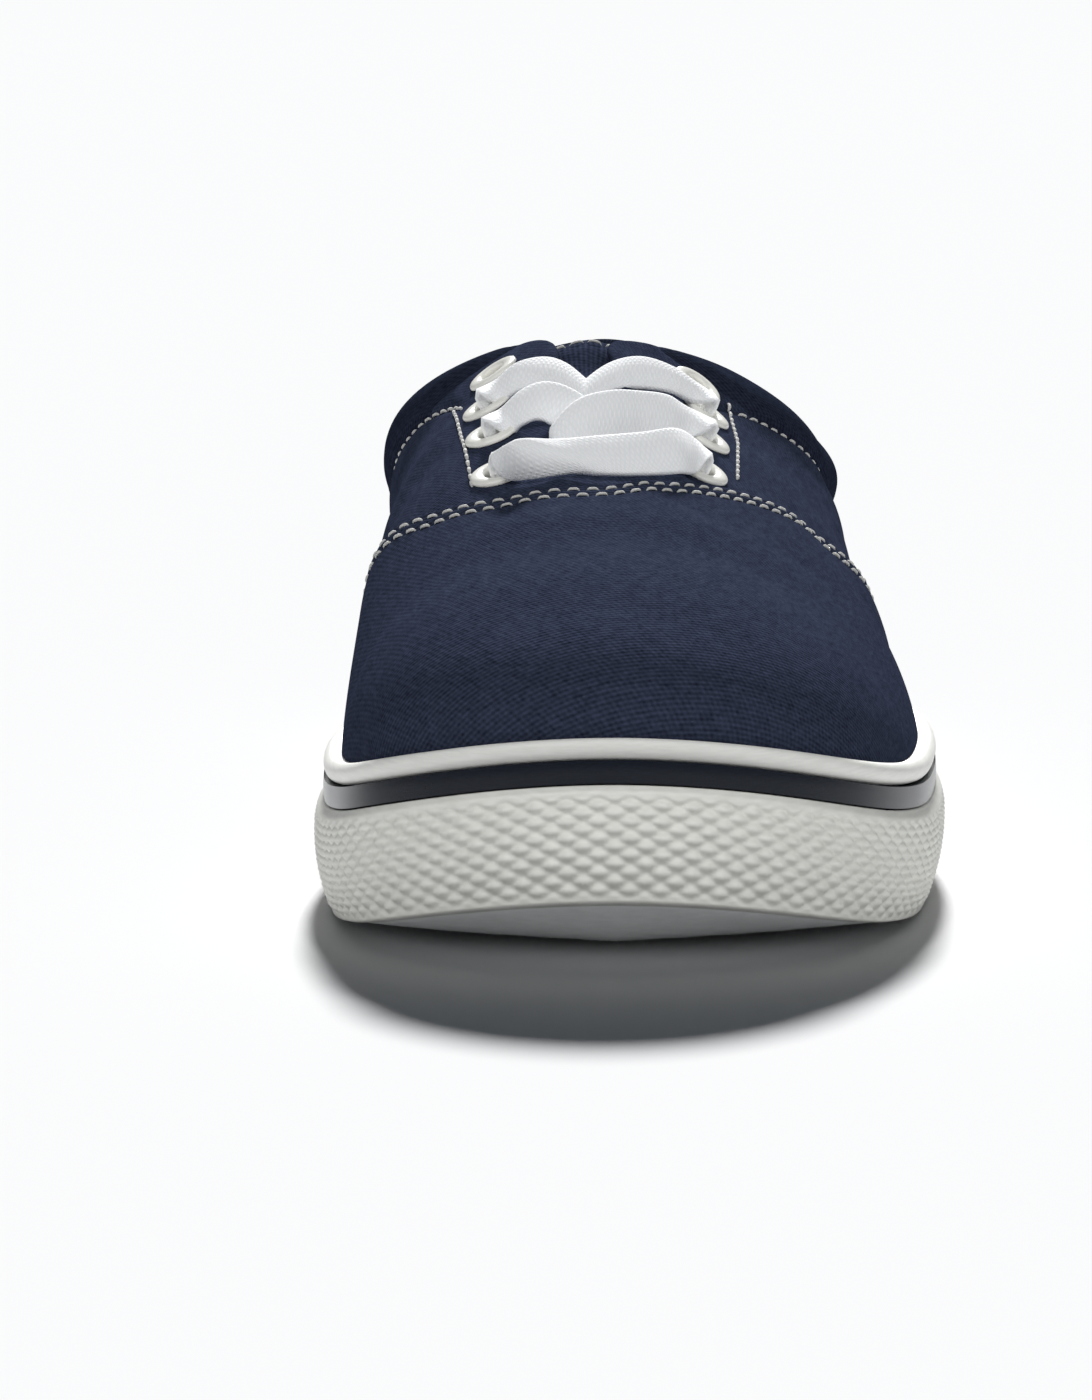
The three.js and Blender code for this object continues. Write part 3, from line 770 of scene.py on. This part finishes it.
# ---------------------------------------------------------------- upper
def seam_back(place):
    """Where the vamp's rear edge runs at a place's own distance from the throat."""
    away = np.hypot(place[..., 0] - SEAM_SIDE, place[..., 2] - SEAM_UP)
    medial = SEAM_FRONT + 0.00125 * away**2.6
    lateral = SEAM_FRONT + 0.285 * away**1.28 + 0.03 * np.maximum(away - 46, 0) ** 2
    share = smooth(SEAM_SIDE - 9, SEAM_SIDE + 9, place[..., 0])
    return medial * (1 - share) + lateral * share


def behind_seam(u, v):
    place = bare_skin(u, v)
    return back_of(place) - seam_back(place)


def seam_height(u, offset=0.0):
    """The v at which each section line u crosses the vamp's rear edge, or a row in front of it."""
    low = np.zeros_like(u)
    high = np.ones_like(u)
    for _ in range(30):
        middle = (low + high) / 2
        past = behind_seam(u, middle) > -offset
        high = np.where(past, middle, high)
        low = np.where(past, low, middle)
    return (low + high) / 2


def rim_row(u, angle, recess=0):
    depth = wall_depth(u, 1)
    radius = depth / 2 - recess
    up = unit(skin(u, 1) - skin(u, 0.99))
    return skin(u, 1, depth / 2 - radius * np.cos(angle)) + up * (radius * np.sin(angle))[:, None]


def collar_row_height(u):
    """The v of the stitched row below the padded collar."""
    v = np.linspace(1, 0.2, 60)
    column = bare_skin(u[None, :], v[:, None])
    steps = np.linalg.norm(np.diff(column, axis=0), axis=-1)
    run = np.concatenate([np.zeros((1, len(u))), np.cumsum(steps, 0)])
    down = np.interp(along("openBack", u), COLLAR_ROW_BACK, COLLAR_ROW_DOWN)
    return np.array([np.interp(down[k], run[:, k], v) for k in range(len(u))])


def skirt_row(u, inset, share):
    ring = outline(u, inset + 0 * u)
    feather = wall_up(back_of(outline(u, FEATHER_INSET + 0 * u)), BEAD_TOP)
    ring[..., 2] = (cup_floor(back_of(ring)) + 0.3) * (1 - share) + feather * share
    return ring


def make_shell():
    """Quarters, facings, padded collar and lining as one hollow wall, open at the throat and below."""
    count = 420
    u = np.arange(count + 1) / count
    row_height = collar_row_height(u)
    has_row = smooth(150, 160, along("openBack", u))
    recess = COLLAR_RECESS * smooth(COLLAR_FRONT + 3, COLLAR_FRONT + 12, along("openBack", u))
    # Millimetres of skin for each unit of v, at the stitched row.
    rate = np.linalg.norm(bare_skin(u, row_height + 0.01) - bare_skin(u, row_height), axis=-1) / 0.01
    rows = [skirt_row(u, FEATHER_INSET, 0)]
    slots = [0]
    for v in np.linspace(0, 1, 76):
        sewn = 0.9 * np.exp(-((v - row_height) * rate / 1.4) ** 2) * has_row
        hidden = recess * smooth(0, 0.06, v - row_height)
        rows.append(skin(u, v + 0 * u, sewn + hidden))
        slots.append(0)
    for angle in np.linspace(0, np.pi, 9)[1:-1]:
        rows.append(rim_row(u, angle, recess))
        slots.append(0 if angle < 2.2 else 1)
    for v in np.linspace(1, 0, 30):
        hidden = recess * smooth(COLLAR_INSIDE, COLLAR_INSIDE + 0.06, v)
        rows.append(skin(u, v + 0 * u, wall_depth(u, v) - hidden))
        slots.append(1)
    rows.append(skirt_row(u, FEATHER_INSET + CLOTH, 0))
    slots.append(1)
    grid = np.array(rows)
    half = count // 2
    outer = grid[1:78]
    uv = np.zeros((*grid.shape[:2], 2))
    for columns in (slice(0, half + 1), slice(half, count + 1)):
        flat = flat_layout(outer[:, columns], Vector((0, 1, 0)))
        uv[1:78, columns] = flat
        uv[0, columns] = flat[0]
        top = flat[-1]
        uv[78:, columns] = top + (top - flat[-2]) * (np.arange(len(rows) - 78) * 1.2)[:, None, None]
    uv = np.concatenate([uv, uv[:1]], 0)
    shell = grid_object("upper_shell", grid[:, :-1], wrap_rows=True, wrap_columns=True,
                        materials=[CANVAS, LINING], slots=slots, uv=uv)
    carve(shell, join([hole_tool(name) for name in EYELETS], "holes"))
    return part(shell, "canvas", "upper")


def collar_range(front):
    """The u on either side where the opening edge passes a distance back."""
    u = np.linspace(0, 1, 2001)
    behind = u[along("openBack", u) > front]
    return behind[0], behind[-1]


def make_collar():
    """The padded collar: a crowned roll over the opening edge, sewn down along its lower row."""
    u = np.linspace(*collar_range(COLLAR_FRONT), 361)
    row_height = collar_row_height(u)
    run = tube_arc(skin(u, row_height))
    taper = smooth(0, 14, run) * smooth(0, 14, run[-1] - run)
    rows = []
    for w in np.linspace(0, 1, 34):
        v = row_height + (1 - row_height) * w
        crown = COLLAR_CROWN * np.sin(np.pi * w) ** 0.55 * taper
        rows.append(skin(u, v, 0.75 * (1 - smooth(0, 0.1, w)) + 0.8 * (1 - taper) - crown))
    for angle in np.linspace(0, np.pi, 13)[1:-1]:
        rows.append(rim_row(u, angle, 0.8 * (1 - taper)))
    outside = len(rows)
    for v in np.linspace(1, COLLAR_INSIDE, 14):
        crown = 0.8 * math.sin(math.pi * (1 - v) / (1 - COLLAR_INSIDE)) * taper
        rows.append(skin(u, v + 0 * u, wall_depth(u, v) - 0.8 * (1 - taper) + crown))
    for w in np.linspace(0, 1, 12):
        v = COLLAR_INSIDE * (1 - w) + row_height * w
        rows.append(skin(u, v, 1.0 + 0 * u))
    grid = np.array(rows)
    girth = tube_arc(grid[:, len(u) // 2])
    girth = np.append(girth, girth[-1] + 1)
    uv = np.stack(np.broadcast_arrays(run[None, :], girth[:, None]), -1)
    slots = [0] * (outside - 3) + [1] * (len(grid) - outside + 3)
    collar = grid_object("padded_collar", grid, wrap_rows=True, materials=[COLLAR_CANVAS, LINING],
                         slots=slots, uv=uv)
    close_up(collar)
    part(collar, "canvas")


def make_vamp():
    """The vamp, laid over the quarters with a folded edge along its rear seam."""
    u = np.linspace(-0.5, 0.5, 901)
    covered = np.flatnonzero(behind_seam(u, 0 * u) < -1.0)
    u = u[covered[0]:covered[-1] + 1]
    u = np.interp(np.linspace(0, 1, 481), np.linspace(0, 1, len(u)), u)
    reach = seam_height(u)
    rows = []
    for w in np.concatenate([np.linspace(0, 0.8, 50), np.linspace(0.8, 1, 46)[1:]]):
        v = reach * w
        away = -behind_seam(u, v)
        sewn = sum(0.3 * np.exp(-((away - row) / 0.7) ** 2) for row in SEAM_ROWS)
        puff = 0.22 * np.exp(-((away - sum(SEAM_ROWS) / 2) / 0.9) ** 2)
        proud = 0.25 + (VAMP_PROUD - 0.25) * smooth(0.1, 0.75, w) - sewn + puff
        rows.append(skin(u, v, -proud))
    edge = rows[-1]
    over = unit(rows[-1] - rows[-2])
    down = skin_normal(u, reach)
    for angle in np.radians([30, 60, 90]):
        rows.append(edge + over * 0.4 * math.sin(angle) - down * 0.4 * (1 - math.cos(angle)))
    rows.append(rows[-1] - down * 0.9)
    grid = np.array(rows)
    vamp = grid_object("vamp", grid, materials=[CANVAS], uv=flat_layout(grid, Vector((0, 1, 0))))
    return part(vamp, "canvas")


# ---------------------------------------------------------------- stitches
def stitches(name, path, normals, spacing=STITCH_PITCH, long=STITCH_LONG, start=0.5):
    """A row of separate stitches, each a bowed thread that dips into the cloth at its ends."""
    here, ahead, up = resample(path, normals, spacing, spacing * start)
    side = unit(np.cross(ahead, up))
    vertices = []
    faces = []
    around = 8
    ends = np.linspace(-1, 1, 9)
    for i in range(len(here)):
        first = len(vertices)
        for t in ends:
            girth = STITCH_THICK * max(0.12, 1 - t**4) ** 0.5
            centre = here[i] + ahead[i] * (t * long / 2) + up[i] * (0.34 - 0.5 * t**4)
            for k in range(around):
                a = 2 * math.pi * k / around
                vertices.append(centre + girth * (side[i] * math.cos(a) + up[i] * 0.8 * math.sin(a)))
        for r in range(len(ends) - 1):
            for k in range(around):
                a = first + r * around + k
                b = first + r * around + (k + 1) % around
                faces.append((a, b, b + around, a + around))
        faces.append(tuple(first + k for k in reversed(range(around))))
        faces.append(tuple(first + (len(ends) - 1) * around + k for k in range(around)))
    return part(new_object(name, vertices, faces, [THREAD]), "lace_cotton")


def make_seam_stitches():
    u = np.linspace(-0.45, 0.45, 1200)
    for number, row in enumerate(SEAM_ROWS, 1):
        kept = u[behind_seam(u, 0 * u) < -row - 0.5]
        v = seam_height(kept, row)
        stitches(f"vamp_stitches_{number}", skin(kept, v, -VAMP_PROUD + 0.25),
                 skin_normal(kept, v), start=0.5 * number)


def make_facing_stitches():
    for name, plan in FACING_ROWS.items():
        sides, backs = zip(*plan)
        run = np.linspace(0, 1, 24)
        spots = [landing(np.interp(t, [0, 0.5, 1], sides), np.interp(t, [0, 0.5, 1], backs)) for t in run]
        u, v = np.array(spots).T
        stitches(f"facing_stitches_{name}", skin(u, v), skin_normal(u, v))


def make_collar_stitches():
    starts = [landing(*FACING_ROWS[side][0])[0] for side in ("medial", "lateral")]
    u = np.linspace(*starts, 500)
    v = collar_row_height(u)
    stitches("collar_stitches", skin(u, v, 0.8), skin_normal(u, v))


def make_back_seam():
    """Two rows of stitches down the plain back seam, from the collar to the sole."""
    top = collar_row_height(np.array([0.499, 0.5, 0.501]))[1]
    v = np.linspace(top - 0.05, 0.1, 60)
    for name, u in (("medial", 0.5 - BACK_SEAM_HALF), ("lateral", 0.5 + BACK_SEAM_HALF)):
        stitches(f"back_seam_stitches_{name}", skin(u, v), skin_normal(u, v))


# ---------------------------------------------------------------- eyelets
def eyelet_frame(name):
    u, v = landing(*EYELETS[name])
    up = skin_normal(u, v)
    across = unit(np.cross(up, [0, 1, 0]))
    return skin(u, v), across, np.cross(up, across), up


def turned(name, profile, around, closed):
    """A profile of (radius, height) turned round an eyelet's axis."""
    place, across, ahead, up = eyelet_frame(name)
    angles = np.arange(around) / around * 2 * math.pi
    rings = [place + r * (np.cos(angles)[:, None] * across + np.sin(angles)[:, None] * ahead) + h * up
             for r, h in profile]
    return grid_object(name + "_turned", np.array(rings), wrap_rows=closed, wrap_columns=True)


def hole_tool(name):
    tool = turned(name, [(EYELET_BARREL + 0.2, -7), (EYELET_BARREL + 0.2, 6)], 32, False)
    close_up(tool)
    return tool


def make_eyelet(name):
    middle = (EYELET_BORE + EYELET_FLANGE) / 2
    crown = [(middle - (middle - EYELET_BORE) * math.cos(a), 0.2 + (EYELET_PROUD - 0.2) * math.sin(a) ** 0.8)
             for a in np.radians(range(0, 181, 12))]
    barrel = [(EYELET_FLANGE, 0.05), (EYELET_BARREL, 0.05), (EYELET_BARREL, -2.4), (EYELET_BORE, -2.4)]
    ring = turned(name, crown + barrel, 48, True)
    ring.name = name.replace("eyelet", "enamel_eyelet")
    ring.data.materials.append(ENAMEL)
    return part(ring, "eyelet_paint", name)


# ---------------------------------------------------------------- tongue
def tongue_row(back):
    return {name: np.interp(back, TONGUE["back"], TONGUE[name]) for name in TONGUE}


def tongue_place(back, s, depth=0.0):
    row = tongue_row(back)
    lift = 3.4 * smooth(156, 172, back) - TONGUE_LOWERED
    up = row["crest"] + lift - row["drop"] * np.abs(s) ** TONGUE_ARCH_POWER - depth
    return points(row["side"] + s * row["half"], back, up)


def make_tongue():
    s = np.linspace(-1, 1, 61)
    backs = np.linspace(84, 173, 60)
    top = [tongue_place(back, s) for back in backs]
    edge = [tongue_place(173.6, s, 0.3), tongue_place(173.9, s, 1.2), tongue_place(173.6, s, 2.2)]
    under = [tongue_place(back, s, TONGUE_THICK - TONGUE_LOWERED) for back in backs[::-1]]
    for i, back in enumerate(backs):
        top[i][..., 2] -= 0.5 * math.exp(-((back - 169.5) / 1.0) ** 2)
    edge[0][..., 1] += 0.6
    edge[1][..., 1] += 0.9
    edge[2][..., 1] += 0.6
    grid = np.array(top + edge + under)
    slots = [0] * (len(top) + 1) + [1] * (len(grid) - len(top) - 2)
    tongue = grid_object("tongue_cloth", grid, materials=[CANVAS, LINING], slots=slots,
                         uv=flat_layout(grid, Vector((0, 1, 0))))
    part(tongue, "canvas", "tongue")
    hem = tongue_place(169.5, np.linspace(-0.9, 0.9, 80))
    stitches("tongue_stitches", hem, np.tile([0, 0, 1.0], (80, 1)), 3.4, 2.7)
    return tongue


# ---------------------------------------------------------------- lace
# Both edges of the flat lace on its way across the throat, toe edge first: side, back, up.
# These places are an open fault. They were neither chosen by hand nor worked out from the frame.
BAR = [
    (-21.5, 102, 69, -23, 102.5, 74), (-17.5, 100.5, 69, -21, 99, 75.5),
    (-10, 100, 70, -19, 101, 76), (-5.5, 98.5, 70, -13, 104, 75.5), (-1, 98, 70, -5, 105.5, 76),
    (4, 99, 70, 2, 106.5, 76.5), (8.5, 101.5, 70, 7, 109, 77), (11, 106.5, 69.5, 10, 113.5, 75.5),
]
LEFT_LOWER = [
    (-21, 122.5, 75, -22.5, 127.5, 79), (-19, 122, 76.5, -19, 128.5, 82), (-16, 121.5, 77.5, -15, 128, 83.5),
    (-13, 120, 76, -10.5, 127, 82.5), (-11.5, 116.5, 73.5, -6, 124, 79.5), (-10, 113, 70.5, -4, 120, 75.5),
]
RIGHT_LOWER = [
    (10.5, 127.5, 73.5, 9.5, 133.5, 79), (6.5, 122.5, 73.5, 6.5, 131, 81), (1.5, 118, 73.5, 2, 127, 82),
    (-3.5, 114, 74, -3.5, 122.5, 82.5), (-8, 111, 73.5, -9.5, 119, 81), (-11, 109, 71, -14, 115.5, 76),
]
LEFT_UPPER = [
    (-23, 140.5, 79, -23.5, 145, 82.5), (-19.5, 139.5, 81, -20, 145, 85.5),
    (-15.5, 138.5, 82, -15, 145.5, 86.5), (-12, 136.5, 81.5, -11, 143, 85.5),
    (-8.5, 133, 79.5, -7, 139, 82.5), (-5, 129, 76.5, -3, 136, 79.5),
]
RIGHT_UPPER = [
    (11.5, 147, 78.5, 12, 151.5, 81.5), (7.5, 143.5, 80.5, 8, 149, 84.5), (2.5, 140, 81.5, 2.5, 146.5, 86.5),
    (-2.5, 136.5, 81.5, -2.5, 143.5, 86), (-6.5, 133, 79.5, -7, 140, 83.5), (-9.5, 130, 76.5, -11, 136, 79.5),
]


def through(name, upwards):
    """Lace gathered through an eyelet: inside, in the bore and just outside."""
    place, _, _, up = eyelet_frame(name)
    rows = []
    for high, half in ((-3.6, 2.1), (-0.6, 2.1), (1.5, 2.2), (3.0, 3.3)):
        rows.append((*(place + up * high - [0, half, 0]), *(place + up * high + [0, half, 0])))
    return rows if upwards else rows[::-1]


def inside(side, back, half=3.6):
    """Lace lying on the tongue below the facings."""
    row = tongue_row(back)
    s = (side - row["side"]) / row["half"]
    middle = tongue_place(back, s) + [0, 0, 1.0]
    return [(*(middle - [0, half, 0]), *(middle + [0, half, 0]))]


def strand(rows):
    """Rows with each distance back turned into the frame's Y."""
    return [(a, b - LENGTH / 2, c, d, e - LENGTH / 2, f) for a, b, c, d, e, f in rows]


def lace_rows():
    """The whole lace, from its hidden end at the top inner eyelet to the one at the top outer."""
    return [
        *inside(-21, 156), *inside(-23.5, 148),
        *through("eyelet_medial_3", True), *strand(LEFT_UPPER), *inside(3, 131), *inside(9, 132.5),
        *through("eyelet_lateral_2", True), *strand(RIGHT_LOWER), *inside(-18, 109),
        *through("eyelet_medial_1", True), *strand(BAR),
        *through("eyelet_lateral_1", False), *inside(6, 115), *inside(0, 116.5),
        *strand(LEFT_LOWER[::-1]), *through("eyelet_medial_2", False), *inside(-19, 128), *inside(-14, 130.5),
        *strand(RIGHT_UPPER[::-1]), *through("eyelet_lateral_3", False), *inside(10, 156), *inside(9, 161),
    ]


def catmull(rows, spacing):
    """Points along a Catmull-Rom curve through rows, a fixed distance apart."""
    rows = np.asarray(rows, float)
    ends = np.vstack([2 * rows[0] - rows[1], rows, 2 * rows[-1] - rows[-2]])
    fine = []
    for i in range(len(rows) - 1):
        a, b, c, d = ends[i:i + 4]
        for t in np.arange(0, 1, 0.05):
            fine.append(0.5 * (2 * b + (c - a) * t + (2 * a - 5 * b + 4 * c - d) * t**2
                               + (3 * b - a - 3 * c + d) * t**3))
    fine = np.array(fine + [rows[-1]])
    length = tube_arc((fine[:, :3] + fine[:, 3:]) / 2)
    stops = np.arange(0, length[-1], spacing)
    return np.stack([np.interp(stops, length, fine[:, k]) for k in range(6)], -1)


def make_lace(blockers):
    rows = catmull(lace_rows(), 0.7)
    centre = (rows[:, :3] + rows[:, 3:]) / 2
    across = (rows[:, 3:] - rows[:, :3]) / 2
    half = np.linalg.norm(across, axis=-1, keepdims=True)
    across = across / half
    ahead = np.gradient(centre, axis=0)
    face = unit(np.cross(ahead, across))
    around = 28
    angles = np.arange(around) / around * 2 * math.pi
    width = np.sign(np.cos(angles)) * np.abs(np.cos(angles)) ** 0.75
    puff = np.sign(np.sin(angles)) * np.abs(np.sin(angles)) ** 0.6 * (1 + 0.18 * np.cos(2 * angles) ** 2)
    thick = (LACE_THICK / 2) * (1 + 0.5 * smooth(3.2, 2.1, half))
    grid = (centre[:, None] + across[:, None] * (half * width)[..., None]
            + face[:, None] * (thick * puff)[..., None])
    settle(grid, blockers)
    run = tube_arc(centre)
    girth = np.concatenate([np.abs(angles - math.pi) / math.pi * LACE_WIDTH, [LACE_WIDTH]])
    uv = np.stack(np.broadcast_arrays(run[:, None], girth[None, :]), -1)
    lace = grid_object("lace", grid, wrap_columns=True, materials=[LACE_COTTON], uv=uv)
    close_up(lace)
    return part(lace, "lace_cotton", "lace_bar", "lace_cross_lower", "lace_cross_upper")


def settle(grid, blockers):
    """Moves whole rings of the lace clear of the pieces that they lie on, evenly along its run."""
    axes = [eyelet_frame(name) for name in EYELETS]
    depsgraph = bpy.context.evaluated_depsgraph_get()
    for piece in blockers:
        tree = BVHTree.FromObject(piece, depsgraph)
        lifts = np.zeros((len(grid), 3))
        for ring, lift in zip(grid, lifts):
            centre = ring.mean(0)
            if any(np.linalg.norm(centre - spot) < EYELET_BARREL + 0.6 for spot, _, _, _ in axes):
                continue
            for place in ring[::2]:
                found, normal, _, _ = tree.find_nearest(Vector(place * MM), 4 * MM)
                if found is None or (Vector(centre * MM) - found).dot(normal) <= 0:
                    continue
                short = LACE_CLEAR - (Vector(place * MM) - found).dot(normal) / MM
                if 0 < short < 2.4 and short > np.linalg.norm(lift):
                    lift[:] = np.array(normal) * short
        spread = np.exp(-(np.arange(-6, 7) / 3.0) ** 2)
        eased = np.stack([np.convolve(lifts[:, k], spread / spread.sum(), "same") for k in range(3)], -1)
        grid += np.where(np.abs(eased) > np.abs(lifts), eased, (eased + lifts) / 2)[:, None]


# ---------------------------------------------------------------- stage
def make_stage():
    floor = new_object("floor", [(-9000, -9000, 0), (9000, -9000, 0), (9000, 22000, 0), (-9000, 22000, 0)],
                       [(0, 1, 2, 3)])
    paint = Surface("floor_paint", 0.8)
    paint.shader.inputs["Specular IOR Level"].default_value = 0.0
    paint.color(paint.ramp(paint.noise(3), [(0.3, (0.90, 0.90, 0.90)), (0.7, (0.91, 0.91, 0.91))]))
    floor.data.materials.append(paint.material)
    floor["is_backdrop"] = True


def add_sun(name, azimuth, elevation, spread, power, only=None):
    """A distant lamp. Azimuth 0 is in front of the toe and 90 is on the outer side, in degrees."""
    lamp = bpy.data.lights.new(name, "SUN")
    lamp.angle = math.radians(spread)
    lamp.energy = power
    holder = bpy.data.objects.new(name, lamp)
    turn = math.radians(azimuth)
    rise = math.radians(elevation)
    toward = Vector((math.sin(turn) * math.cos(rise), -math.cos(turn) * math.cos(rise), math.sin(rise)))
    holder.rotation_euler = toward.to_track_quat("Z", "Y").to_euler()
    bpy.context.scene.collection.objects.link(holder)
    if only is not None:
        holder.light_linking.receiver_collection = only


def make_lights():
    world = bpy.data.worlds.new("studio")
    world.use_nodes = True
    nodes = world.node_tree.nodes
    sky = nodes["Background"]
    sky.inputs["Color"].default_value = (0.80, 0.89, 1.0, 1)
    sky.inputs["Strength"].default_value = SKY
    backdrop = nodes.new("ShaderNodeBackground")
    backdrop.inputs["Color"].default_value = (0.95, 0.95, 0.95, 1)
    seen = nodes.new("ShaderNodeLightPath")
    mix = nodes.new("ShaderNodeMixShader")
    links = world.node_tree.links
    links.new(seen.outputs["Is Camera Ray"], mix.inputs[0])
    links.new(sky.outputs[0], mix.inputs[1])
    links.new(backdrop.outputs[0], mix.inputs[2])
    links.new(mix.outputs[0], nodes["World Output"].inputs["Surface"])
    bpy.context.scene.world = world
    shoe = bpy.data.collections.new("shoe")
    sole = bpy.data.collections.new("sole")
    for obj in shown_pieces():
        shoe.objects.link(obj)
        if obj.name.startswith("sole_"):
            sole.objects.link(obj)
    add_sun("key", 178, 33.5, 8, KEY)
    add_sun("fill_left", -38, 48, 40, FILL, shoe)
    add_sun("fill_right", 40, 40, 40, FILL, shoe)
    add_sun("fill_low", 0, 3, 50, FILL_LOW, sole)
    bpy.context.scene.view_settings.view_transform = "Standard"


def make_camera():
    lens = bpy.data.cameras.new("camera")
    lens.lens = CAMERA_LENS
    lens.sensor_width = CAMERA_SENSOR
    holder = bpy.data.objects.new("camera", lens)
    holder.location = Vector(CAMERA_PLACE) * MM
    holder.rotation_euler = (math.radians(CAMERA_TILT), 0, 0)
    bpy.context.scene.collection.objects.link(holder)
    bpy.context.scene.camera = holder


# ---------------------------------------------------------------- assembly
make_camera()
make_stage()
make_band()
make_tread()
make_stripe()
make_bead()
make_insole()
upper_shell = make_shell()
vamp = make_vamp()
make_collar()
tongue = make_tongue()
make_seam_stitches()
make_facing_stitches()
make_collar_stitches()
make_back_seam()
for eyelet in EYELETS:
    make_eyelet(eyelet)
make_lace([upper_shell, vamp, tongue])
make_lights()
